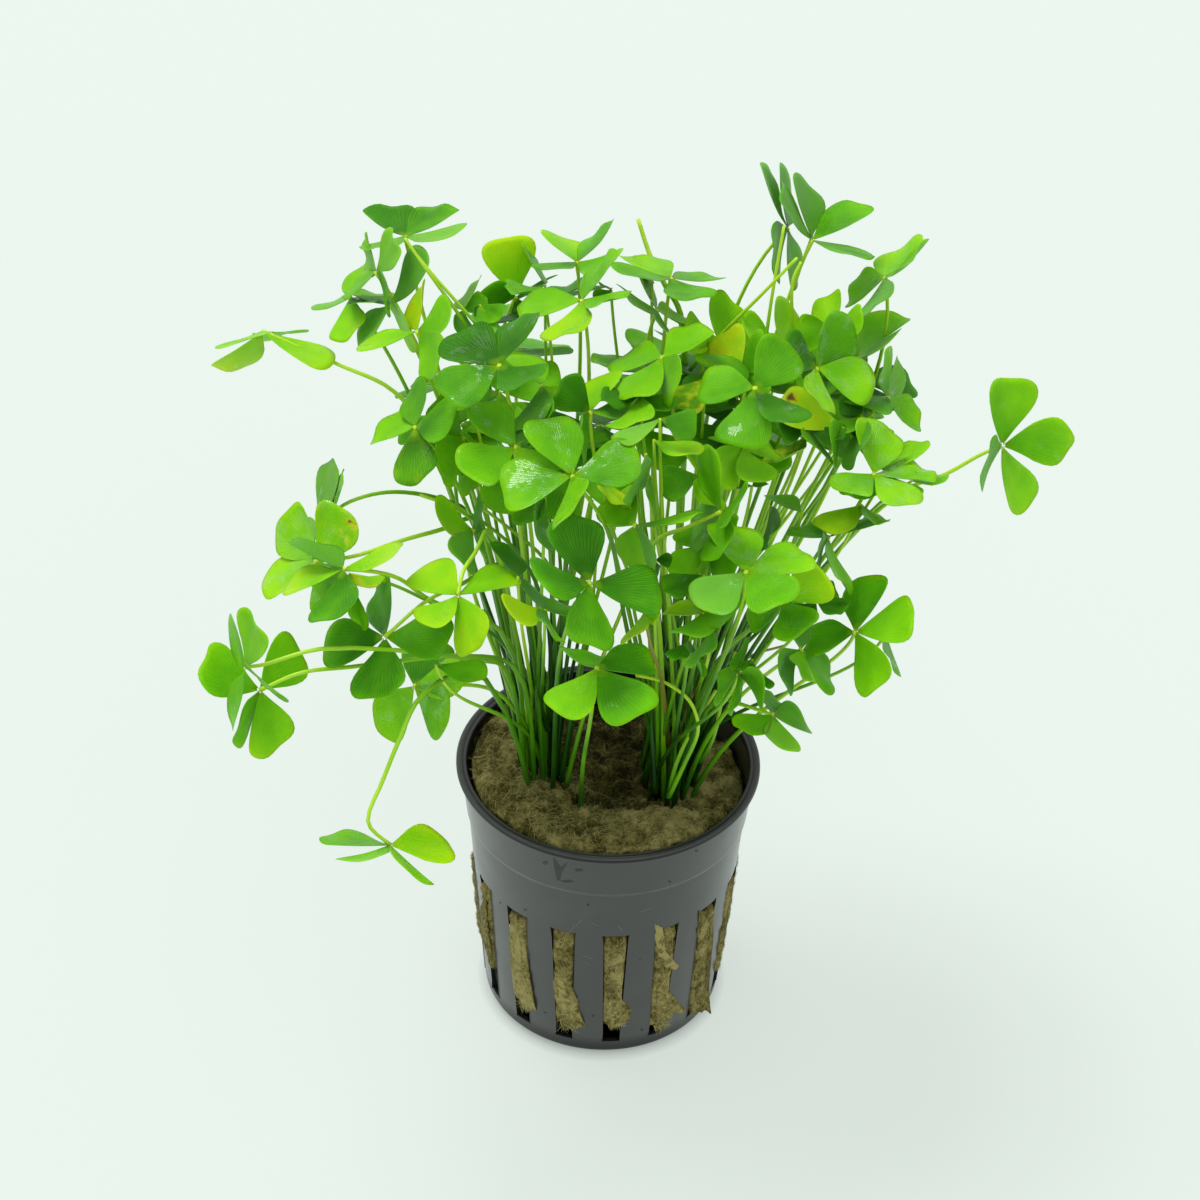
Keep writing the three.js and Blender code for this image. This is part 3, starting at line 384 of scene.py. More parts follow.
def pose_frond(frond, step=0):
    """Hub, upward normal and four leaflets of a frond, in millimetres. The picture allows two tilts, and
    the one that faces up more is taken."""
    depth = depth_in_crown(frond["hub"], frond["layer"]) - frond.get("nearer", 0) + step
    ray = sight(frond["hub"])
    flat = [picture_arm(frond, tip, depth) for tip in frond["tips"]]
    first, second = (flat[0] - flat[2]) / 2, (flat[1] - flat[3]) / 2
    tilt = tilt_of_axes(first, second)

    def place(point, z):
        return across * point[0] + upward * point[1] - ray * z

    def facing(sign):
        normal = unit(np.cross(place(first, sign * tilt[0]), place(second, sign * tilt[1])))
        return -normal if normal @ forward > 0 else normal

    sign = 1 if facing(1)[2] >= facing(-1)[2] else -1
    normal = facing(sign)
    length = max(BLADE_LENGTH, *(math.hypot(*point) for point in flat))
    blades = []
    for number, point in enumerate(flat):
        planar = sign * (1 if number < 2 else -1) * tilt[number % 2]
        room = math.sqrt(max(0, length * length - point @ point))
        z = (-1 if planar < 0 else 1) * min(room, (room + abs(planar)) / 2)
        blades.append(blade(number, place(point, z), normal))
    return dict(hub=at_depth(frond["hub"], depth), normal=normal, blades=blades)


def level_blades(frond, hub):
    """Leaflets of a loose frond, spread as level as their picture allows."""
    most = BLADE_LENGTH * 0.6
    blades = []
    for number, tip in enumerate(frond["tips"]):
        x, y = picture_arm(frond, tip, (hub - eye) @ forward)
        away = np.clip(y / math.tan(EYE_PITCH), -most, most)
        arm = across * x + upward * y + unit(sight(frond["hub"])) * away
        blades.append(blade(number, arm, [0, 0, 1]))
    return blades


def spread_blades(normal, spin, length):
    """Four leaflets square to each other about a normal."""
    first = unit(np.cross([0.0, 1.0, 0.01], normal))
    second = np.cross(normal, first)
    turns = [spin + number * math.pi / 2 for number in range(4)]
    return [blade(number, (math.cos(turn) * first + math.sin(turn) * second) * length, normal)
            for number, turn in enumerate(turns)]


def bezier(points, t):
    p0, p1, p2, p3 = points
    t = t[:, None]
    return (1 - t) ** 3 * p0 + 3 * (1 - t) ** 2 * t * p1 + 3 * (1 - t) * t * t * p2 + t ** 3 * p3


def centripetal(points, t=STEM_SHARES):
    """Centripetal spline through points, each span an equal share of t."""
    points = np.array(points)
    padded = np.vstack([2 * points[0] - points[1], points, 2 * points[-1] - points[-2]])
    spans = len(points) - 1
    place = np.clip(t * spans, 0, spans - 1e-9)
    i = place.astype(int)
    w = (place - i)[:, None]
    p0, p1, p2, p3 = (padded[i + k] for k in range(4))
    d0, d1, d2 = (np.sum((b - a) ** 2, axis=1)[:, None] ** 0.25 for a, b in ((p0, p1), (p1, p2), (p2, p3)))
    t1 = ((p1 - p0) / d0 - (p2 - p0) / (d0 + d1) + (p2 - p1) / d1) * d1
    t2 = ((p2 - p1) / d1 - (p3 - p1) / (d1 + d2) + (p3 - p2) / d2) * d1
    return p1 + t1 * w + (3 * (p2 - p1) - 2 * t1 - t2) * w ** 2 + (2 * (p1 - p2) + t1 + t2) * w ** 3


def stem_points(frond, base, hub, normal=None, sway=0, t=STEM_SHARES):
    """A stem from its base to its hub: through the frond's own picture points, or else in one bend."""
    if "stem" in frond:
        passed = []
        for u, v, share in frond["stem"]:
            y = base[1] + share * (hub[1] - base[1])
            passed.append(at_y((u, v), y + sway * math.sin(math.pi * share)))
        return centripetal([base, base + [0, 0, STEM_RISE], *passed, hub], t)
    chord = hub - base
    reach = np.linalg.norm(chord)
    arrive = unit(unit(chord) + normal)
    leave = unit(np.array([chord[0], chord[1], reach * 2]))
    return bezier((base, base + leave * reach * STEM_LEAVE,
                   hub - arrive * reach * STEM_ARRIVE + forward * sway, hub), t)


def node_points(name):
    """The corners of a CAD node, in millimetres, each once."""
    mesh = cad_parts[name].data
    points = np.empty(len(mesh.vertices) * 3)
    mesh.vertices.foreach_get("co", points)
    return np.unique(np.round(points.reshape(-1, 3) / MM, 3), axis=0)


def node_base(points):
    """Where the stem of a frond's node starts: the middle of its lowest section, a square."""
    return points[np.argsort(points[:, 2])[:4]].mean(axis=0)


def settled(frond, name):
    """The pose and stem of the frond as its CAD node stands: of the steps and sways that a frond
    may take, the one whose stem runs inside the node's own corners."""
    points = node_points(name)
    base = node_base(points)
    dense = np.linspace(0, 1, 200)
    most = -1
    for sway in STEM_SWAYS:
        for step in SETTLE_STEPS:
            pose = pose_frond(frond, step)
            line = stem_points(frond, base, pose["hub"], pose["normal"], sway, dense)
            apart = np.sqrt(((points[:, None] - line[None]) ** 2).sum(axis=2).min(axis=1))
            held = (np.abs(apart - CORNER_OFF) < CORNER_SLACK).sum()
            if held > most:
                most, best = held, (pose, stem_points(frond, base, pose["hub"], pose["normal"], sway))
    return best


# Meshes


def make_object(name, points, faces, materials, smooth=True):
    """An object in the scene from points in millimetres and faces."""
    mesh = bpy.data.meshes.new(name)
    mesh.from_pydata((np.asarray(points) * MM).tolist(), [], faces)
    for material in materials:
        mesh.materials.append(material)
    mesh.polygons.foreach_set("use_smooth", np.full(len(mesh.polygons), smooth))
    return add_to_scene(name, mesh)


def add_to_scene(name, data):
    obj = bpy.data.objects.new(name, data)
    bpy.context.scene.collection.objects.link(obj)
    return obj


def set_point_value(obj, name, values):
    layer = obj.data.attributes.new(name, "FLOAT", "POINT")
    layer.data.foreach_set("value", np.asarray(values, dtype=np.float32))


def set_uv(obj, uv):
    """Texture coordinates from one pair for each point."""
    layer = obj.data.uv_layers.new(name="UVMap")
    corners = np.empty(len(obj.data.loops), dtype=np.int32)
    obj.data.loops.foreach_get("vertex_index", corners)
    layer.data.foreach_set("uv", np.asarray(uv, dtype=np.float32)[corners].ravel())


class Parts:
    """Gathers points, faces and values of several meshes that become one object."""

    def __init__(self):
        self.points, self.faces, self.uv, self.values, self.kinds = [], [], [], [], []
        self.count = 0

    def add(self, points, faces, values, uv=(0, 0), kind=0):
        """Values and uv are one row for each point, or one row for all of them."""
        self.points.append(points)
        self.faces += [[k + self.count for k in face] for face in faces]
        self.kinds += [kind] * len(faces)
        self.uv.append(np.broadcast_to(uv, (len(points), 2)))
        self.values.append(np.broadcast_to(values, (len(points), np.shape(values)[-1])))
        self.count += len(points)

    def make(self, name, materials, value_names):
        obj = make_object(name, np.vstack(self.points), self.faces, materials)
        obj.data.polygons.foreach_set("material_index", np.array(self.kinds, dtype=np.int32))
        set_uv(obj, np.vstack(self.uv))
        for value_name, values in zip(value_names, np.vstack(self.values).T):
            set_point_value(obj, value_name, values)
        return obj


def grid_faces(rows, columns, closed=False, start=0, flip=False):
    """Four-sided faces of a grid of points, its columns joined round if closed."""
    last = columns if closed else columns - 1
    r, c = np.meshgrid(np.arange(rows - 1), np.arange(last), indexing="ij")
    a = start + r * columns + c
    b = start + r * columns + (c + 1) % columns
    quads = np.stack([a, b, b + columns, a + columns], axis=-1).reshape(-1, 4)
    return (quads[:, ::-1] if flip else quads).tolist()


def tube(line, radii, sides):
    """Points, faces and texture coordinates of a round tube along a line, with closed ends."""
    line = np.asarray(line)
    steps = np.gradient(line, axis=0)
    steps /= np.linalg.norm(steps, axis=1)[:, None]
    aside = unit(np.cross(steps[0], [0.3, 1, 0.2]))
    turns = np.linspace(0, 2 * math.pi, sides, endpoint=False)
    rings = []
    for step, point, radius in zip(steps, line, radii):
        aside = unit(aside - step * (aside @ step))
        other = np.cross(step, aside)
        rings.append(point + radius * (np.cos(turns)[:, None] * aside + np.sin(turns)[:, None] * other))
    n = len(line)
    faces = grid_faces(n, sides, closed=True)
    faces += [range(sides)[::-1], range((n - 1) * sides, n * sides)]
    uv = np.column_stack([np.tile(turns / (2 * math.pi), n), np.repeat(np.linspace(0, 1, n), sides)])
    return np.vstack(rings), faces, uv


# Leaflets: a fan by its angle, the shape of its outer edge, its width for its length, and its mesh
FAN_ANGLE = math.radians(38)
FAN_POWER = 5.0
FAN_EDGE = 0.3
FAN_WIDTH = 0.88
FAN_SPREAD = np.sin(np.radians(np.linspace(-76, 76, 19)))
FAN_RIBS = len(FAN_SPREAD)
FAN_RINGS = 10
FAN_SHARES = np.linspace(0, 1, FAN_RINGS) ** 0.85 * 0.95 + 0.05
LEAF_HALF_THICKNESS = 0.06

# How leaflets differ by chance, in millimetres: mean and spread of their cup, droop and twist, and the
# range of their ripple
LEAF_CUP = (0.45, 0.2)
LEAF_DROOP = (0.2, 0.5)
LEAF_TWIST = (0, 0.5)
LEAF_RIPPLE = (0.15, 0.4)
ANY_PHASE = (0, 6.28)


def turned(hub, leaf, wide):
    """Side and face of a leaflet turned about its axis until it looks as wide as in the picture."""
    side, face = leaf["side"], leaf["face"]
    if not wide:
        return side, face
    flat = unit(np.cross(unit(hub - eye), leaf["axis"]))
    if side @ flat < 0:
        flat = -flat
    full = FAN_WIDTH * leaf["length"] * FOCAL_PX / ((hub - eye) @ forward)
    most = math.hypot(side @ flat, face @ flat)
    turn = math.atan2(face @ flat, side @ flat)
    if wide < full * most:
        away = math.acos(wide / full / most)
        turn += -away if turn > 0 else away
    return side * math.cos(turn) + face * math.sin(turn), face * math.cos(turn) - side * math.sin(turn)


def leaflet(hub, leaf, chance, wide):
    """A thin closed fan, cupped, bent, twisted and rippled by chance: points, faces, texture coordinates
    and which side each point is on."""
    side, face = turned(hub, leaf, wide)
    length = leaf["length"]
    edge = (1 - np.abs(FAN_SPREAD) ** FAN_POWER) ** FAN_EDGE
    edge *= 1 + 0.025 * np.sin(FAN_SPREAD * chance.uniform(3, 7) + chance.uniform(*ANY_PHASE))
    out = FAN_SHARES[:, None] * edge[None] * length
    theta = FAN_SPREAD * FAN_ANGLE
    x, y = out * np.cos(theta), out * np.sin(theta)
    along, beside = x / length, y / (FAN_WIDTH / 2 * length)
    z = -chance.normal(*LEAF_CUP) * np.sin(math.pi * np.clip(along, 0, 1)) * (1 - beside ** 2)
    z -= chance.normal(*LEAF_DROOP) * along ** 2.5
    z += chance.normal(*LEAF_TWIST) * beside * along ** 2
    wave = chance.uniform(1.2, 2.6) * math.pi * FAN_SPREAD + chance.uniform(*ANY_PHASE)
    z += chance.uniform(*LEAF_RIPPLE) * FAN_SHARES[:, None] ** 3 * np.sin(wave)
    place = hub + x[..., None] * leaf["axis"] + y[..., None] * side + z[..., None] * face
    thick = LEAF_HALF_THICKNESS * (1 - 0.7 * FAN_SHARES[:, None] ** 6) * np.ones_like(x)
    top = (place + thick[..., None] * face).reshape(-1, 3)
    bottom = (place - thick[..., None] * face).reshape(-1, 3)
    n = len(top)
    faces = grid_faces(FAN_RINGS, FAN_RIBS, flip=True) + grid_faces(FAN_RINGS, FAN_RIBS, start=n)
    rim = [*range(FAN_RIBS), *range(2 * FAN_RIBS - 1, n, FAN_RIBS),
           *range(n - 2, n - FAN_RIBS - 1, -1), *range(n - 2 * FAN_RIBS, 0, -FAN_RIBS)]
    faces += [(a, b, b + n, a + n) for a, b in zip(rim, rim[1:] + rim[:1])]
    uv = np.column_stack([np.tile(FAN_SPREAD * 0.5 + 0.5, FAN_RINGS), np.repeat(FAN_SHARES, FAN_RIBS)])
    return np.vstack([top, bottom]), faces, np.vstack([uv, uv]), np.repeat([0.0, 1.0], n)


def add_leaflets(parts, frond, hub, blades, chance):
    """The leaflets of a frond, each as bright, wide, aged and worn as its entry says."""
    for leaf in blades:
        number = leaf["number"]
        tone = int(frond["tones"][number]) / 10 + chance.normal(0, 0.025)
        points, faces, uv, under = leaflet(hub, leaf, chance, frond["wide"][number])
        age = np.full(len(points), frond.get("ages", {}).get(number, 0.0))
        for worn_leaflet, middle, radius, worn in frond.get("patches", ()):
            if worn_leaflet == number:
                away = np.linalg.norm(seen_at(points) - middle, axis=1) / radius
                age = np.maximum(age, worn * np.clip(1.5 - 1.5 * away, 0, 1))
        if number in frond.get("greys", ()):
            under[:] = 1.0
        if number in frond.get("brights", ()):
            under[:] = 0.0
        wet = frond.get("wet", 0.2) + chance.uniform(-0.2, 0.2)
        tones, wets = np.full(len(points), tone), np.full(len(points), wet)
        parts.add(points, faces, np.column_stack([tones, age, under, wets]), uv)


def stem_parts(line, stem, tone, brown=0.0):
    """A new object's parts, with a tapered stem along a line as the first."""
    thick, thin = stem
    radii = thick - (thick - thin) * np.linspace(0, 1, len(line)) ** 0.7
    if thick > THICK_STEM:
        radii[-1] = max(radii[-1], KNOT_RADIUS)
    points, faces, uv = tube(line, radii, STEM_SIDES)
    parts = Parts()
    parts.add(points, faces, [tone, brown, 0.0, 0.0], uv, kind=1)
    return parts


def finish_green(parts, name):
    obj = parts.make(name, [leaf_material, stem_material], ["tone", "age", "under", "wet"])
    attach(obj, "root")
    return obj


def any_tone(chance):
    """How bright a stem is where its entry doesn't say."""
    return chance.uniform(0.1, 1.0)


def tuft_point(tuft, chance):
    """Where a stem leaves the wool, anywhere in a tuft."""
    (x, y), (a, b) = TUFTS[tuft]
    turn, out = chance.uniform(0, 2 * math.pi), math.sqrt(chance.uniform(0, 1))
    return np.array([x + a * out * math.cos(turn), y + b * out * math.sin(turn), WOOL_TOP - STEM_SINK])


def build_fronds():
    """The fronds that have solids, each with a small knot at its hub."""
    for number, frond in enumerate(FRONDS, 1):
        node = f"frond_{number:02d}"
        pose, line = settled(frond, node)
        chance = np.random.default_rng(number)
        parts = stem_parts(line, FROND_STEM, STEM_TONES.get(number, any_tone(chance)))
        frond = dict(frond, greys=GREYS.get(number, ()), ages=AGES.get(number, {}),
                     wet=WET.get(number, 0.25), brights=BRIGHTS.get(number, ()),
                     patches=PATCHES.get(number, ()))
        add_leaflets(parts, frond, pose["hub"], pose["blades"], chance)
        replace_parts(finish_green(parts, f"water_clover_{number:02d}"), node)


def build_loose_fronds():
    """Single leaflets and small fronds, too many to be solids too."""
    for number, frond in enumerate(LOOSE, 1):
        chance = np.random.default_rng(100 + number)
        hub = in_crown(frond)
        if hub[1] > BACK_LIMIT:
            hub = at_y(frond["hub"], BACK_LIMIT)
        base = tuft_point(frond.get("tuft", "right"), chance)
        line = stem_points(frond, base, hub, np.array([0, 0, 1.0]))
        parts = stem_parts(line, SMALL_STEM, any_tone(chance), frond.get("brown", 0.0))
        blades = pose_frond(frond)["blades"] if frond.get("cross") else level_blades(frond, hub)
        add_leaflets(parts, frond, hub, blades, chance)
        finish_green(parts, f"loose_leaves_{number:02d}")


def build_inner_fronds():
    """Fronds behind the ones in front: each faces up and away from the middle of the crown."""
    for number, (u, v, layer) in enumerate(INNER, 1):
        chance = np.random.default_rng(200 + number)
        hub = in_crown(dict(hub=(u, v), layer=layer))
        outward = (hub + chance.normal(0, 8, 3)) * [1, 1, 0]
        normal = unit(unit(outward) * math.tan(math.radians(chance.uniform(*INNER_TILT))) + [0, 0, 1])
        base = tuft_point("left" if hub[0] < 0 else "right", chance)
        parts = stem_parts(stem_points({}, base, hub, normal), SMALL_STEM, any_tone(chance))
        tones = "".join(str(k) for k in chance.integers(1, 6, 4))
        blades = spread_blades(normal, chance.uniform(0, 1.57), chance.uniform(*INNER_LENGTH))
        add_leaflets(parts, dict(tones=tones, wide=(0, 0, 0, 0)), hub, blades, chance)
        finish_green(parts, f"inner_clover_{number:02d}")


def build_lone_stems():
    """Stems whose leaflets can't be told apart from the others."""
    for number, (places, half, tone, brown) in enumerate(STEMS, 1):
        line = centripetal([at_y((u, v), y) for u, v, y in places])
        finish_green(stem_parts(line, (half, half * 0.7), tone, brown), f"lone_stem_{number:02d}")


def build_stalk():
    """The petiole that has lost its leaflets."""
    line = stem_points(STALK, node_base(node_points("bare_stalk")), in_crown(STALK))
    points, faces, uv = tube(line, np.linspace(0.6, 0.34, len(line)), STEM_SIDES)
    stalk = make_object("broken_stalk", points, faces, [stem_material])
    set_uv(stalk, uv)
    set_point_value(stalk, "tone", np.ones(len(points)))
    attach(stalk, "root")
    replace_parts(stalk, "bare_stalk")


# Materials


class Shading:
    """A new material and short ways to build its nodes. A value is a number or another node's output."""

    def __init__(self, name):
        self.material = bpy.data.materials.new(name)
        self.material.use_nodes = True
        self.tree = self.material.node_tree

    def feed(self, node, inputs):
        for key, value in inputs.items():
            socket = node.inputs[key]
            if isinstance(value, bpy.types.NodeSocket):
                self.tree.links.new(value, socket)
            else:
                socket.default_value = (*value, 1) if socket.type == "RGBA" else value

    def node(self, kind, inputs, **settings):
        node = self.tree.nodes.new("ShaderNode" + kind)
        for key, value in settings.items():
            setattr(node, key, value)
        self.feed(node, inputs)
        return node.outputs

    def finish(self, inputs):
        """The material, once its surface has what it needs."""
        self.feed(self.tree.nodes["Principled BSDF"], inputs)
        return self.material

    def coordinates(self, kind):
        return self.node("TexCoord", {})[kind]

    def each(self, kind):
        """The coordinates of a kind one by one."""
        return self.node("SeparateXYZ", {0: self.coordinates(kind)})

    def attribute(self, name):
        return self.node("Attribute", {}, attribute_name=name)["Fac"]

    def noise(self, scale, detail=3.0, roughness=0.5):
        return self.node("TexNoise", {"Vector": self.coordinates("Object"), "Scale": scale,
                                      "Detail": detail, "Roughness": roughness})["Fac"]

    def math(self, operation, *values, clamp=False):
        return self.node("Math", dict(enumerate(values)), operation=operation, use_clamp=clamp)[0]

    def add(self, first, second):
        return self.math("ADD", first, second)

    def scaled(self, value, factor, offset=0.0):
        return self.math("MULTIPLY_ADD", value, factor, offset)

    def fade(self, value, start, end, low=0.0, high=1.0):
        """From low to high while a value goes from start to end."""
        return self.node("MapRange", {"Value": value, "From Min": start, "From Max": end, "To Min": low,
                                      "To Max": high})[0]

    def ramp(self, factor, *stops):
        node = self.tree.nodes.new("ShaderNodeValToRGB")
        elements = node.color_ramp.elements
        while len(elements) < len(stops):
            elements.new(0.5)
        for element, (position, colour) in zip(elements, stops):
            element.position = position
            element.color = (*colour, 1)
        self.feed(node, {"Fac": factor})
        return node.outputs["Color"]

    def mix(self, factor, first, second):
        return self.node("Mix", {0: factor, 6: first, 7: second}, data_type="RGBA")[2]

    def bump(self, height, distance, strength=1.0):
        return self.node("Bump", {"Height": height, "Distance": distance, "Strength": strength})["Normal"]


def make_leaf_material():
    """Green by the leaflet's own tone, with fine rays, a pale foot, a greyer underside, worn yellow and
    brown patches, and a film of water in places."""
    leaf = Shading("leaf")
    across_leaf, along_leaf, _ = leaf.each("UV")
    shade = leaf.add(leaf.attribute("tone"), leaf.scaled(leaf.noise(160.0), 0.55, -0.275))
    shade = leaf.add(shade, leaf.scaled(along_leaf, 0.14, -0.1))
    colour = leaf.ramp(shade, (0.0, (0.009, 0.090, 0.001)), (0.25, (0.032, 0.190, 0.001)),
                       (0.5, (0.104, 0.378, 0.001)), (0.75, (0.212, 0.550, 0.002)),
                       (1.0, (0.400, 0.660, 0.004)))
    wavering = leaf.add(across_leaf, leaf.scaled(leaf.noise(300.0, 1.0), 0.03, -0.015))

    def rays(count, start, end):
        wave = leaf.math("SINE", leaf.scaled(wavering, 2 * math.pi * count))
        line = leaf.math("POWER", leaf.math("MAXIMUM", wave, 0.0), 4.0)
        return leaf.math("MULTIPLY", line, leaf.fade(along_leaf, start, end))

    vein = leaf.add(rays(15, 1.0, 0.5), rays(31, 0.3, 0.6))
    colour = leaf.mix(leaf.scaled(vein, 0.34), colour, leaf.mix(0.5, colour, (0.36, 0.64, 0.09)))
    colour = leaf.mix(leaf.fade(along_leaf, 0.20, 0.03, 0.0, 0.6), colour, (0.30, 0.52, 0.01))
    colour = leaf.mix(leaf.scaled(leaf.attribute("under"), 0.6), colour, (0.14, 0.38, 0.045))
    blotch = leaf.fade(leaf.noise(420.0), 0.45, 0.63, 0.3, 1.7)
    worn = leaf.math("MULTIPLY", leaf.attribute("age"), blotch, clamp=True)
    aged = leaf.ramp(worn, (0.0, (0.33, 0.56, 0.003)), (0.15, (0.50, 0.60, 0.006)),
                     (0.35, (0.36, 0.33, 0.02)), (0.55, (0.17, 0.09, 0.012)), (1.0, (0.08, 0.035, 0.01)))
    colour = leaf.mix(leaf.math("MULTIPLY", worn, 4.0, clamp=True), colour, aged)
    film = leaf.add(leaf.scaled(leaf.attribute("wet"), 0.2, -0.1), leaf.noise(300.0, 4.0, 0.65))
    wet = leaf.fade(film, 0.59, 0.63)
    relief = leaf.add(leaf.scaled(vein, 0.35), leaf.noise(700.0))
    return leaf.finish({
        "Base Color": colour, "Roughness": leaf.scaled(wet, -0.26, 0.42),
        "Specular IOR Level": leaf.scaled(wet, 0.4, 0.08), "Subsurface Weight": 0.35,
        "Subsurface Radius": (0.6, 1.0, 0.05), "Subsurface Scale": 0.0006,
        "Normal": leaf.bump(relief, 0.00009, 0.8)})


def make_stem_material():
    """Dark at the foot, a painted shade under the crown, and yellow-green above, each stem a little lighter
    or darker.
    """
    stem = Shading("stem")
    # Darker towards the foot: painted shade under the crown
    shade = stem.add(stem.each("UV")[1], stem.scaled(stem.noise(90.0), 0.4, -0.2))
    shade = stem.add(shade, stem.scaled(stem.attribute("tone"), 0.6, -0.3))
    colour = stem.ramp(shade, (0.0, (0.004, 0.038, 0.0005)), (0.2, (0.016, 0.105, 0.001)),
                       (0.42, (0.085, 0.290, 0.003)), (0.7, (0.26, 0.56, 0.008)), (1.0, (0.46, 0.72, 0.03)))
    return stem.finish({
        "Base Color": stem.mix(stem.attribute("age"), colour, (0.24, 0.14, 0.03)), "Roughness": 0.35,
        "Specular IOR Level": 0.3, "Subsurface Weight": 0.2, "Subsurface Radius": (0.5, 1.0, 0.1),
        "Subsurface Scale": 0.0008, "Normal": stem.bump(stem.noise(700.0, 2.0), 0.00008, 0.5)})


def make_pot_material():
    """Satin grey plastic, with painted shade at the lip and at the foot, a painted highlight along the lip's
    top edge, faint smudges and dark specks. Heights are in metres."""
    pot = Shading("pot_plastic")
    height = pot.each("Object")[2]
    colour = pot.ramp(pot.noise(55.0, 4.0, 0.6), (0.3, (0.011, 0.012, 0.012)),
                      (0.6, (0.014, 0.015, 0.015)), (0.75, (0.023, 0.024, 0.023)))
    specks = pot.fade(pot.noise(420.0, 2.0), 0.70, 0.76)
    # Painted shade under the lip's overhang and at its inner edge: a darker colour above this height
    lip = pot.fade(height, 0.0493, 0.0496)
    # Painted highlight: a lighter band along the lip's top edge
    edge = pot.fade(height, 0.05040, 0.05050)
    # Painted shade at the foot: a darker colour and less reflection towards the floor
    toe = pot.fade(height, 0.0048, 0.0012)
    colour = pot.mix(pot.scaled(specks, 0.6), colour, (0.012, 0.012, 0.012))
    colour = pot.mix(lip, colour, (0.008, 0.009, 0.009))
    colour = pot.mix(edge, colour, (0.050, 0.051, 0.050))
    colour = pot.mix(toe, colour, (0.003, 0.003, 0.003))
    return pot.finish({
        "Base Color": colour, "Roughness": pot.scaled(pot.noise(130.0), 0.2, 0.30),
        "Specular IOR Level": pot.scaled(toe, -0.5, pot.scaled(lip, -0.35, 0.6)),
        "Coat Weight": pot.scaled(toe, -0.45, pot.scaled(lip, -0.4, 0.55)), "Coat Roughness": 0.15,
        "Normal": pot.bump(pot.noise(2600.0, 2.0), 0.00003, 0.5)})


def make_wool_material(name, dark, middle, light, bumpy):
    """Coarse and fine blotches between three colours, lighter where the mesh's light value says so: random
    tone together with painted light and shade.
    """
    wool = Shading(name)
    fine = wool.noise(1500.0, 4.0, 0.65)
    level = wool.add(wool.scaled(wool.noise(130.0, 4.0, 0.6), 0.5), wool.scaled(fine, 0.5))
    # The mesh's light value holds painted light and shade as well as random tone
    level = wool.add(level, wool.attribute("light"))
    relief = {"Normal": wool.bump(fine, 0.0006)} if bumpy else {}
    return wool.finish({"Base Color": wool.ramp(level, (0.34, dark), (0.52, middle), (0.74, light)),
                        "Roughness": 0.8, "Specular IOR Level": 0.12, **relief})


def make_plain_material(name, colour, roughness):
    return Shading(name).finish({"Base Color": colour, "Roughness": roughness})


def make_floor_material():
    """Bright paper that glows evenly, and glows less under the pot and close around its foot as a painted
    contact shadow.
    """
    floor = Shading("floor")
    from_axis = floor.node("VectorMath", {0: floor.coordinates("Object")}, operation="LENGTH")["Value"]
    return floor.finish({
        "Base Color": (0.204, 0.225, 0.2095), "Emission Color": (0.540, 0.593, 0.555),
        # The glow cut back near the foot is a painted contact shadow
        "Emission Strength": floor.fade(from_axis, 0.0185, 0.0225, 0.35), "Roughness": 0.8,
        "Specular IOR Level": 0.1})


leaf_material = make_leaf_material()
stem_material = make_stem_material()
pot_material = make_pot_material()
wool_material = make_wool_material("rock_wool", (0.016, 0.014, 0.003), (0.098, 0.084, 0.017),
                                   (0.37, 0.32, 0.12), True)
fibre_material = make_wool_material("fibre", (0.035, 0.030, 0.006), (0.19, 0.168, 0.040),
                                    (0.52, 0.46, 0.19), False)
mark_material = make_plain_material("dirt", (0.012, 0.012, 0.012), 0.25)
scratch_material = make_plain_material("scratch", (0.16, 0.16, 0.15), 0.5)


# Pot mesh: columns across a slot and across the rib beside it, rows along a slot, the top of the floor
# and the radii of its rings
COLUMNS_IN_SLOT = 4
COLUMNS_IN_RIB = 6
SLOT_ROWS = 14
POT_FLOOR = 1.0
FLOOR_RINGS = (0.4, 9.0)


def clamp(value):
    return min(1.0, max(0.0, value))


def smooth(value):
    value = clamp(value)
    return value * value * (3 - 2 * value)


def around(radius, angle, z):
    """The point at an angle round the pot, from the front towards the right."""
    return radius * math.sin(angle), -radius * math.cos(angle), z


def slot_centre(index):
    return SLOT_TURN + index * SLOT_PITCH


def slot_width(z):
    share = clamp((z - SLOT_BOTTOM) / (SLOT_TOP - SLOT_BOTTOM))
    return SLOT_BOTTOM_WIDTH + share * (SLOT_TOP_WIDTH - SLOT_BOTTOM_WIDTH)


def wall_radius(z):
    """Outer radius of the wall below the shoulder, with a rounded toe."""
    if z < TOE_HEIGHT:
        toe = math.sqrt(clamp(1 - ((TOE_HEIGHT - z) / TOE_HEIGHT) ** 2))
        return FOOT_RADIUS + (TOE_RADIUS - FOOT_RADIUS) * toe
    share = (z - TOE_HEIGHT) / (SHOULDER_HEIGHT - TOE_HEIGHT)
    return TOE_RADIUS + share * (SHOULDER_RADIUS - SHOULDER_STEP - TOE_RADIUS)


def wall_rows(*heights):
    return [(wall_radius(z), z) for z in heights]


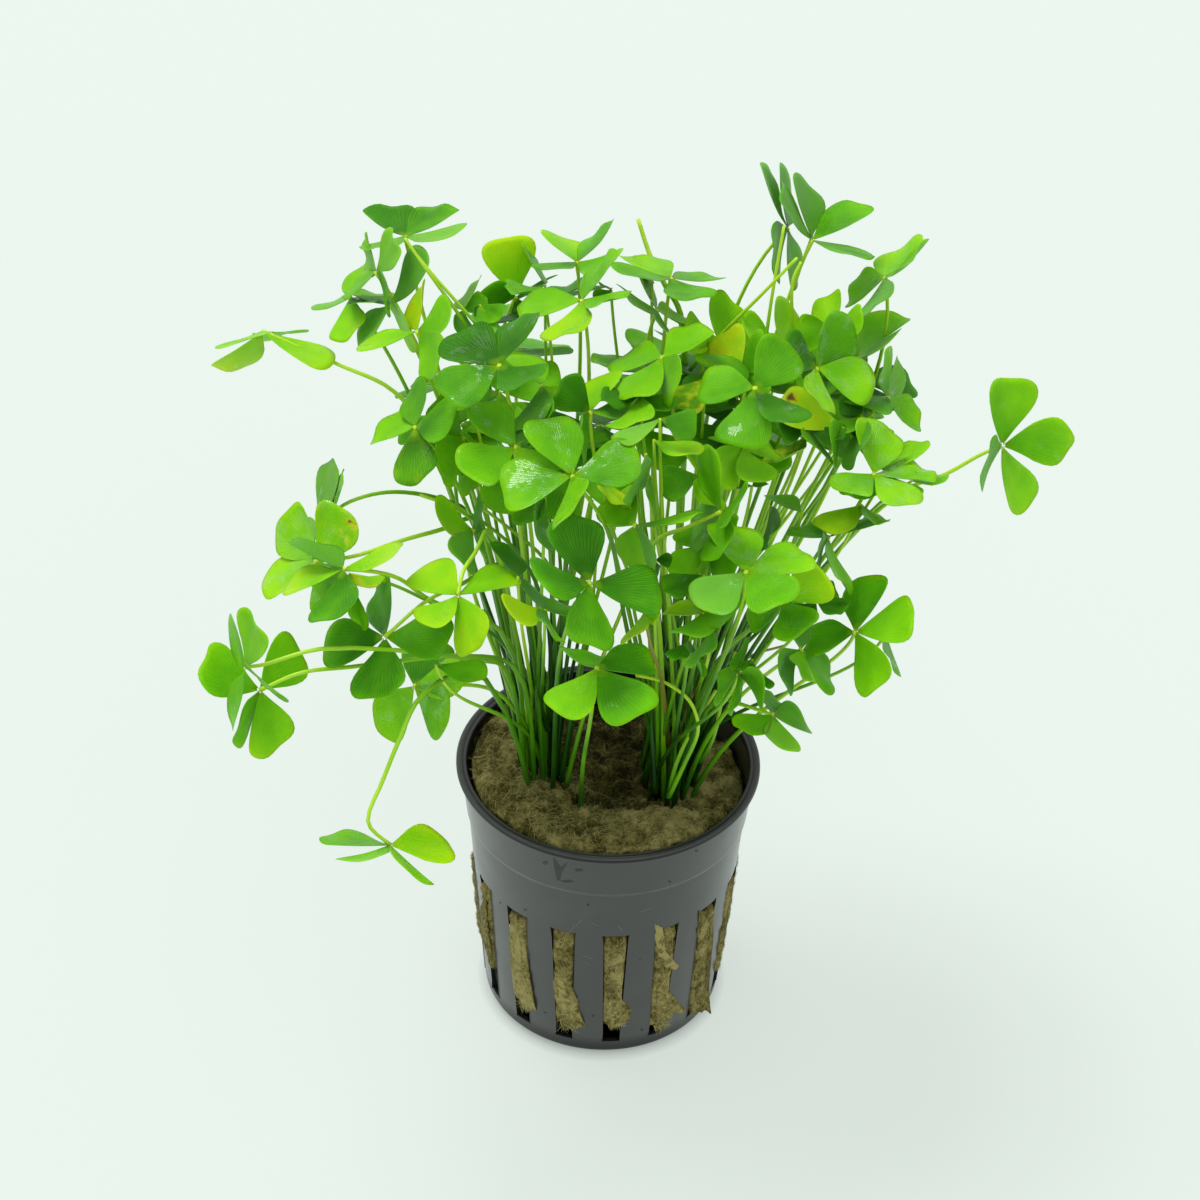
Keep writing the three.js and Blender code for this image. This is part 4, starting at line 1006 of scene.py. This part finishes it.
def pot_rows():
    """Outer then inner (radius, height) rows from under the foot round to the floor, and the first
    outer and inner row of the slots."""
    neck, top = RIM_RADIUS - LIP_OVERHANG, POT_HEIGHT
    lip = top - LIP_HEIGHT
    foot = [(radius, 0.0) for radius in (*FLOOR_RINGS, FOOT_RADIUS)]
    foot += wall_rows(0.12, 0.35, 0.7, 1.2, 1.8, TOE_HEIGHT, 3.2)
    outer = wall_rows(*np.linspace(SLOT_BOTTOM, SLOT_TOP, SLOT_ROWS))
    shoulder = wall_rows(34.0, 38.0, SHOULDER_HEIGHT - 0.5, SHOULDER_HEIGHT - 0.1)
    shoulder += [(SHOULDER_RADIUS - 0.06, SHOULDER_HEIGHT + 0.12), (SHOULDER_RADIUS, SHOULDER_HEIGHT + 0.5),
                 (SHOULDER_RADIUS + 0.35, SHOULDER_HEIGHT + 4), (neck - 0.05, lip - 1.2), (neck, lip - 0.25)]
    rim = [(neck + 0.25, lip - 0.05), (RIM_RADIUS - 0.15, lip + 0.05), (RIM_RADIUS, lip + 0.25),
           (RIM_RADIUS - 0.02, top - 0.3), (RIM_RADIUS - 0.2, top - 0.05), (RIM_RADIUS - 0.5, top),
           (neck + 0.1, top - 0.03), (neck - 0.05, top - 0.25), (neck - 0.3, top - 0.3),
           (neck - 0.45, top - 0.2), (neck - 0.8, top - 0.25), (neck - 0.95, top - 0.6),
           (neck - WALL - 0.1, top - 2)]
    inside = [(SHOULDER_RADIUS - WALL, SHOULDER_HEIGHT + 2),
              (SHOULDER_RADIUS - SHOULDER_STEP - WALL, SHOULDER_HEIGHT - 1), (wall_radius(36.0) - WALL, 36.0)]
    inner = [(radius - WALL, z) for radius, z in reversed(outer)]
    floor = [(radius, POT_FLOOR) for radius in (wall_radius(1.1) - WALL - 0.3, *FLOOR_RINGS[::-1])]
    first = foot + outer + shoulder + rim + inside
    return first + inner + floor, len(foot), len(first)


def build_pot():
    """The rows turned round the pot's axis, open across each slot, with walls along the slots' edges."""
    rows, outer_first, inner_first = pot_rows()
    steps = [(k / COLUMNS_IN_SLOT * 2 - 1, 0.0) for k in range(COLUMNS_IN_SLOT)]
    steps += [(1.0, k / COLUMNS_IN_RIB) for k in range(COLUMNS_IN_RIB)]
    columns = SLOT_COUNT * len(steps)
    in_slot = [c % len(steps) < COLUMNS_IN_SLOT for c in range(columns)]
    points = []
    for radius, z in rows:
        half = math.asin(slot_width(z) / 2 / max(radius, FOOT_RADIUS))
        for index in range(SLOT_COUNT):
            for edge, rib in steps:
                angle = slot_centre(index) + edge * half + rib * (SLOT_PITCH - 2 * half)
                points.append(around(radius, angle, z))
    last_inner = inner_first + SLOT_ROWS - 1
    open_rows = {*range(outer_first, outer_first + SLOT_ROWS - 1), *range(inner_first, last_inner)}
    faces = [face for face in grid_faces(len(rows), columns, closed=True)
             if not (face[0] // columns in open_rows and in_slot[face[0] % columns])]
    for k in range(SLOT_ROWS):
        outer, inner = (outer_first + k) * columns, (last_inner - k) * columns
        for c in range(columns):
            n = (c + 1) % columns
            if in_slot[c] and k in (0, SLOT_ROWS - 1):
                wall = (outer + n, outer + c, inner + c, inner + n)
                faces.append(wall if k else wall[::-1])
            if k < SLOT_ROWS - 1 and in_slot[c] != in_slot[c - 1]:
                wall = (outer + c, outer + columns + c, inner - columns + c, inner + c)
                faces.append(wall if in_slot[c] else wall[::-1])
    faces += [range(columns)[::-1], range((len(rows) - 1) * columns, len(rows) * columns)]
    pot = make_object("net_pot", points, faces, [pot_material])
    edge = pot.modifiers.new("edges", "BEVEL")
    edge.width = 0.12 * MM
    edge.segments = 2
    edge.limit_method = "ANGLE"
    edge.angle_limit = math.radians(50)
    edge.use_clamp_overlap = True
    normals = pot.modifiers.new("normals", "WEIGHTED_NORMAL")
    normals.keep_sharp = True
    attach(pot, "root")
    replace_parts(pot, "pot")


# Rock wool: its mesh, its lowest edge, its gap to the wall, the forms of its top, how far it bulges
# through a slot and draws back below, and how high above the foot it starts in each slot
WOOL_COLUMNS_PER_SLOT = 24
WOOL_SIDE_ROWS = 76
WOOL_TOP_ROWS = 46
WOOL_LOWEST = 5.0
WOOL_GAP = 0.25
HOLLOW_DEPTH = 2.3
COLLAR_RISE = 3.7
BACK_DROP = 1.5
GROOVE_DROP = 1.3
BULGE = 0.55
BULGE_ROUGHNESS = 0.45
DRAW_BACK = 9
TAB_FOOTS = [8.6, 5.6, 5.6, 7.5, 9.0, 6.8, 8.2, 7.0, 9.4, 6.6, 8.0, 7.2, 8.8, 9.1, 7.6, 7.1]

# Inner edge of the rolled collar: (x, y) points from the left wall along the front to the right wall
COLLAR_EDGE = [(-26, 4.5), (-12, 1.0), (-8.4, -5.0), (-5.8, -9.6), (0.0, -11.4), (10.6, -10.8), (19.0, -7.5),
               (26, -3.0)]


def fractal(point, scale, octaves=4):
    """Rough noise. The third coordinate of a flat pattern only keeps it unlike the others."""
    return noise.fractal(Vector(point) * scale, 0.8, 2.1, octaves)


def wool_height(x, y):
    """Top of the wool: a rolled collar along the left and front, a hollow behind it that is deepest
    between the tufts, and a lower back where the wall shows."""
    edge = float(np.interp(x, *zip(*COLLAR_EDGE))) + 1.1 * fractal((x, y, 1.0), 0.28)
    collar = smooth((edge - y + 0.6) / 2.0) * (1 - 0.55 * smooth((x - 9) / 9))
    left = smooth((-x - 9 - 0.25 * max(0.0, y)) / 5) * smooth((24 - y) / 8)
    back = smooth((x * 0.5 + y * 0.87 - 2) / 18)
    groove = math.exp(-((x - 1.5) / 5) ** 2) * smooth((y + 9) / 6)
    z = WOOL_TOP - HOLLOW_DEPTH + COLLAR_RISE * max(collar, 0.9 * left)
    z -= BACK_DROP * back + GROOVE_DROP * groove
    z += 0.8 * fractal((x, y, 3.0), 0.2) + 1.0 * fractal((x, y, 9.0), 0.5, 5)
    z -= 0.8 * smooth((math.hypot(x, y) / RIM_RADIUS - 0.84) / 0.12) * collar
    return min(z, POT_HEIGHT - 0.25)


def painted_side_light(x, y, side, front):
    """Painted light that makes the wool lighter on its right side, and painted shade that takes some of it
    back at the front of that side.
    """
    return side * smooth((x - 8) / 8) - front * smooth((x - 11) / 6) * smooth((-y - 2) / 8)


def wool_side(index, off, z, swell=0.0):
    """Radius of the wool at a height, off to the side of a slot's middle, how far it bulges there and
    how rough it is."""
    rough = fractal(around(20, slot_centre(index) + off, z), 0.5)
    inner = wall_radius(z) - WALL - WOOL_GAP
    half = slot_width(z) / 2 / (inner + WALL) - 0.004
    foot = TAB_FOOTS[index] + 1.6 * off / half + 1.2 * rough
    window = clamp((1 - abs(off) / half) / 0.16)
    bulge = clamp((SLOT_TOP - 0.5 - z) / 1.6) * clamp((z - foot) / 1.6)
    pillow = math.sqrt(window * bulge)
    out = (WALL + BULGE + BULGE_ROUGHNESS * rough) * pillow
    return inner - DRAW_BACK * clamp((foot + 1.5 - z) / 5) + out + swell, pillow, rough


def build_wool():
    """The top from its middle out to the wall, then the side down to the lowest edge."""
    columns = SLOT_COUNT * WOOL_COLUMNS_PER_SLOT
    offs = np.arange(WOOL_COLUMNS_PER_SLOT) / WOOL_COLUMNS_PER_SLOT * SLOT_PITCH - SLOT_PITCH / 2
    places = [(index, off) for index in range(SLOT_COUNT) for off in offs]
    edge = wall_radius(46.0) - WALL - 0.15
    points, light = [], []
    for row in range(1, WOOL_TOP_ROWS + 1):
        for index, off in places:
            x, y, _ = around(edge * row / WOOL_TOP_ROWS, slot_centre(index) + off, 0)
            z = wool_height(x, y)
            points.append((x, y, z))
            # Lightness: painted shade in the low hollows and painted light on the high collar, random tone,
            # and painted light and shade on the right side
            light.append(0.03 * (z - WOOL_TOP) + 0.03 + 0.17 * fractal((x, y, 5.0), 0.42)
                         + painted_side_light(x, y, 0.22, 0.15))
    tops = [z for x, y, z in points[-columns:]]
    for row in range(1, WOOL_SIDE_ROWS + 1):
        for (index, off), top in zip(places, tops):
            z = top + row / WOOL_SIDE_ROWS * (WOOL_LOWEST - top)
            radius, pillow, rough = wool_side(index, off, z)
            points.append(around(radius, slot_centre(index) + off, z))
            # Painted light where the wool bulges out through a slot, and random tone
            light.append(0.12 * pillow + 0.12 * rough)
    faces = grid_faces(WOOL_TOP_ROWS + WOOL_SIDE_ROWS, columns, closed=True, flip=True)
    faces += [range(columns), range(len(points) - columns, len(points))[::-1]]
    wool = make_object("wool_plug", points, faces, [wool_material])
    set_point_value(wool, "light", light)
    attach(wool, "root")
    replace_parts(wool, "rock_wool")


# Fibres: how many on the top and in each slot, and how far out those on the top start and end
TOP_FIBRES = 4200
SLOT_FIBRES = 190
FIBRE_SIDES = 3
FIBRE_HALF_THICKNESS = (0.014, 0.04)
FIBRE_START = 23.2
FIBRE_END = 24.2

# Tufts that hang out of a slot: index, side, height, reach and strands
TUFTS_IN_SLOTS = [(15, 1, 2.5, 0.9, 180), (1, 1, 3.6, 1.0, 270), (2, 0, 2.0, 0.8, 150),
                  (0, 1, 1.6, 0.4, 120), (14, 1, 1.5, 0.3, 120), (4, -1, 2.0, 0.6, 90),
                  (8, -1, 2.2, 0.7, 120), (11, 1, 1.8, 0.6, 90)]
TUFT_RADIUS = 19.5


def make_fibres(name, strands):
    """Joined thin tubes: each strand is its points, its half thickness and its lightness."""
    parts = Parts()
    for line, thickness, light in strands:
        points, faces, uv = tube(line, thickness * np.linspace(1, 0.45, len(line)), FIBRE_SIDES)
        parts.add(points, faces, [light], uv)
    fibres = parts.make(name, [fibre_material], ["light"])
    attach(fibres, "root")


def top_strand(chance):
    """A curl that lies on the top of the wool."""
    r = FIBRE_START * math.sqrt(chance.uniform(0, 1))
    x, y, _ = around(r, chance.uniform(0, 2 * math.pi), 0)
    heading, bend = chance.uniform(0, 2 * math.pi), chance.normal(0, 0.32)
    step = chance.uniform(0.25, 0.62)
    lift = chance.uniform(0.05, 0.5)
    line = []
    for k in range(7):
        if math.hypot(x, y) > FIBRE_END:
            break
        line.append((x, y, wool_height(x, y) + 0.04 + lift * math.sin(math.pi * k / 6)))
        x, y = x + step * math.cos(heading), y + step * math.sin(heading)
        heading += bend + chance.normal(0, 0.12)
    return line


def slot_strand(index, chance):
    """A fibre on the face of the wool in a slot, most of them nearly upright."""
    z = chance.uniform(TAB_FOOTS[index] + 0.5, SLOT_TOP - 1.0)
    off = chance.uniform(-1, 1) * (slot_width(z) / 2 - 0.35) / wall_radius(z)
    lean = chance.normal(0, 0.55)
    step = chance.uniform(0.3, 0.7)
    lift = chance.uniform(0.02, 0.22)
    line = []
    for k in range(6):
        if not TAB_FOOTS[index] - 0.3 < z < SLOT_TOP - 0.7:
            break
        r, _, _ = wool_side(index, off, z, 0.03 + lift * math.sin(math.pi * k / 5))
        line.append(around(r, slot_centre(index) + off, z))
        z += step * math.cos(lean)
        off += step * math.sin(lean) / r
        lean += chance.normal(0, 0.2)
        if abs(off) * r > slot_width(z) / 2 - 0.25:
            break
    return line


def tuft_strand(index, side, height, reach, chance):
    """A fibre that hangs out of a slot and over the rib beside it."""
    z = TAB_FOOTS[index] + chance.uniform(-0.3, height)
    off = side * (slot_width(z) / 2 - chance.uniform(0.2, 2.2)) / TUFT_RADIUS
    heading = chance.normal(-0.9 * side * reach, 0.55) - math.pi / 2
    bend = chance.normal(0, 0.16)
    step = chance.uniform(0.12, 0.34)
    lift = chance.uniform(0.0, 0.16) * reach
    line = []
    for k in range(7):
        line.append(around(wall_radius(max(z, 0.6)) + 0.12 + lift * k, slot_centre(index) + off, z))
        off -= step * math.cos(heading) / TUFT_RADIUS
        z += step * math.sin(heading)
        heading += bend
    return line


def build_fibres():
    chance = np.random.default_rng(5)
    strands = []
    for _ in range(TOP_FIBRES):
        line = top_strand(chance)
        if len(line) > 2:
            x, y, z = line[0]
            # Lightness: painted shade low and painted light high on the wool, random tone, and painted light
            # and shade on the right side
            light = 0.05 * (z - WOOL_TOP) + 0.2 * fractal((x, y, 5.0), 0.42) + chance.uniform(-0.12, 0.34)
            light += painted_side_light(x, y, 0.12, 0.10)
            strands.append((line, chance.uniform(*FIBRE_HALF_THICKNESS), light))
    make_fibres("wool_fibres_top", strands)
    strands = []
    for index in range(SLOT_COUNT):
        for _ in range(SLOT_FIBRES):
            line = slot_strand(index, chance)
            if len(line) > 2:
                strands.append((line, chance.uniform(*FIBRE_HALF_THICKNESS), chance.uniform(-0.08, 0.34)))
    make_fibres("wool_fibres_slots", strands)
    strands = []
    for *tuft, count in TUFTS_IN_SLOTS:
        for _ in range(count):
            line = tuft_strand(*tuft, chance)
            strands.append((line, chance.uniform(0.012, 0.04), chance.uniform(0.0, 0.3)))
    make_fibres("wool_tufts", strands)


# Parts of the wool that have spilled out over the ribs, in picture coordinates, with how far each
# stands out and how light it is
FLAPS = [
    ([(656, 985), (668, 990), (676, 998), (686, 1010), (684, 1014), (672, 1014), (668, 1021), (658, 1030),
      (655, 1020), (655, 1000)], 0.9, 0.10),
    ([(554, 975), (566, 972), (573, 988), (578, 1000), (580, 1012), (586, 1026), (578, 1029), (569, 1027),
      (560, 1015), (554, 996)], 0.8, 0.12),
    ([(604, 1003), (622, 998), (630, 1008), (631, 1018), (626, 1024), (612, 1028), (605, 1024)], 0.5, 0.04),
    ([(509, 925), (517, 918), (526, 945), (530, 975), (534, 1000), (536, 1011), (526, 1009), (515, 996),
      (510, 965)], 0.9, 0.16),
    ([(699, 914), (713, 905), (714, 930), (711, 965), (709, 988), (710, 1003), (711, 1012), (703, 1012),
      (694, 1015), (693, 990), (696, 950)], 0.6, 0.02),
    ([(655, 924), (663, 928), (664, 944), (669, 959), (679, 966), (678, 970), (666, 969), (658, 956),
      (655, 940)], 0.6, 0.26),
    ([(480, 905), (486, 895), (489, 925), (492, 955), (487, 956), (481, 935)], 0.9, 0.10),
]
FLAP_RINGS = 12
FLAP_SPOKES = 48

# Marks on the pot, in picture coordinates: a drip, smudges and specks of dirt, then scratches
DARK_MARKS = [
    [(553, 858), (566, 856), (567, 864), (562, 872), (560, 880), (557, 881), (555, 872)],
    [(542, 862), (547, 861), (548, 864), (544, 865)],
    [(575, 869), (582, 869), (583, 871), (576, 872)],
    [(560, 881), (569, 880), (574, 882), (566, 883)],
]
SPECKS = [(525, 910, 1.6), (588, 905, 1.4), (593, 1016, 1.6), (642, 1030, 1.5), (697, 851, 1.8),
          (670, 882, 1.6), (727, 905, 1.2), (545, 1013, 1.2), (500, 903, 1.3), (640, 960, 0.9)]
SCRATCHES = [(576, 926, 582, 920), (582, 956, 593, 959), (570, 932, 575, 925), (590, 922, 598, 926),
             (640, 912, 652, 908), (618, 925, 622, 931), (584, 962, 590, 965)]
SCRATCH_WIDTH = 0.4
MARK_HEIGHT = 0.03
FLARE_HEIGHTS, FLARE_RADII = (41.0, 41.5, 45.0, 48.5), (24.0, 24.3, 24.65, 25.05)


def on_wall(pixel, height=MARK_HEIGHT):
    """The point that shows at a picture point when it lies this high on the pot's wall."""
    near, far = EYE_DISTANCE - 60, EYE_DISTANCE + 20
    for _ in range(40):
        depth = (near + far) / 2
        x, y, z = at_depth(pixel, depth)
        wall = wall_radius(z) if z < FLARE_HEIGHTS[0] else np.interp(z, FLARE_HEIGHTS, FLARE_RADII)
        inside = math.hypot(x, y) < wall + height
        near, far = (near, depth) if inside else (depth, far)
    return at_depth(pixel, near)


def build_flaps():
    """Each flap is a cushion of rings from its ragged outline to its middle."""
    parts = Parts()
    for outline, puff, light in FLAPS:
        corners = np.array(outline + outline[:1], dtype=float)
        place = np.linspace(0, len(outline), FLAP_SPOKES, endpoint=False)
        edge = np.column_stack([np.interp(place, range(len(corners)), corners[:, k]) for k in (0, 1)])
        middle = edge.mean(axis=0)
        points, lights = [], []
        for share in 1 - np.arange(FLAP_RINGS + 1) / FLAP_RINGS * 0.98:
            for spot in edge:
                arm = (spot - middle) * share
                rough = fractal((*(middle + arm) * 0.2, 4.0), 1.0)
                ragged = 1 + 0.10 * fractal((*spot, 8.0), 0.45)
                height = 0.02 + puff * math.sqrt(max(0.0, 1 - share ** 2)) * (0.8 + 0.35 * rough)
                points.append(on_wall(middle + arm * ragged, height))
                # Painted shade along the outline where the flap meets the wall, and random tone
                lights.append([light + 0.06 + 0.09 * rough - 0.06 * share ** 3])
        faces = grid_faces(FLAP_RINGS + 1, FLAP_SPOKES, closed=True)
        faces.append(range(len(points) - FLAP_SPOKES, len(points)))
        parts.add(points, faces, lights)
    flaps = parts.make("wool_flaps", [wool_material], ["light"])
    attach(flaps, "root")


def build_marks():
    """Each mark is a thin patch on the wall, fanned out from its middle."""
    parts = Parts()
    outlines = [(outline, 0) for outline in DARK_MARKS]
    for u, v, r in SPECKS:
        turns = np.linspace(0, 2 * math.pi, 7, endpoint=False)
        outlines.append(([(u + r * math.cos(turn), v + 0.8 * r * math.sin(turn)) for turn in turns], 0))
    for u1, v1, u2, v2 in SCRATCHES:
        du, dv = unit(np.array([v2 - v1, u1 - u2])) * SCRATCH_WIDTH
        outlines.append(([(u1, v1), (u1 + du, v1 + dv), (u2 + du, v2 + dv), (u2, v2)], 1))
    for outline, kind in outlines:
        points = [on_wall(pixel) for pixel in outline]
        points.append(np.mean(points, axis=0) * [1.001, 1.001, 1])
        n = len(outline)
        parts.add(points, [((k + 1) % n, k, n) for k in range(n)], [0.0], kind=kind)
    marks = parts.make("pot_marks", [mark_material, scratch_material], ["tone"])
    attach(marks, "root")


# Stage: the floor's half width, and the sun lamps by name, direction, angle in degrees and power
FLOOR_REACH = 4000.0
SUNS = [("key", (0.40, -0.22, -1.15), 28, 2.0), ("fill", (-0.2, 0.8, -1.0), 50, 0.6)]


def build_camera():
    camera = bpy.data.cameras.new("camera")
    camera.lens = FOCAL_PX / PICTURE_PX * SENSOR
    camera.sensor_width = SENSOR
    camera.clip_start, camera.clip_end = 0.01, 20
    obj = add_to_scene("camera", camera)
    turn = np.column_stack([across, upward, -forward, eye * MM])
    obj.matrix_world = Matrix([*turn.tolist(), [0, 0, 0, 1]])
    bpy.context.scene.camera = obj


def build_stage():
    corners = [(x * FLOOR_REACH, y * FLOOR_REACH, 0) for x, y in ((-1, -1), (1, -1), (1, 1), (-1, 1))]
    floor = make_object("floor", corners, [(0, 1, 2, 3)], [make_floor_material()], smooth=False)
    world = bpy.data.worlds.new("studio")
    world.use_nodes = True
    background = world.node_tree.nodes["Background"]
    background.inputs["Color"].default_value = (0.97, 1.0, 0.98, 1)
    background.inputs["Strength"].default_value = 0.72
    bpy.context.scene.world = world
    for name, towards, angle, power in SUNS:
        lamp = bpy.data.lights.new(name, "SUN")
        lamp.angle = math.radians(angle)
        lamp.energy = power
        obj = add_to_scene(name, lamp)
        obj.rotation_euler = Vector(towards).to_track_quat("-Z", "Y").to_euler()
    bpy.context.scene.view_settings.view_transform = "Standard"


build_camera()
build_stage()
build_pot()
build_marks()
build_wool()
build_flaps()
build_fibres()
build_fronds()
build_loose_fronds()
build_inner_fronds()
build_lone_stems()
build_stalk()
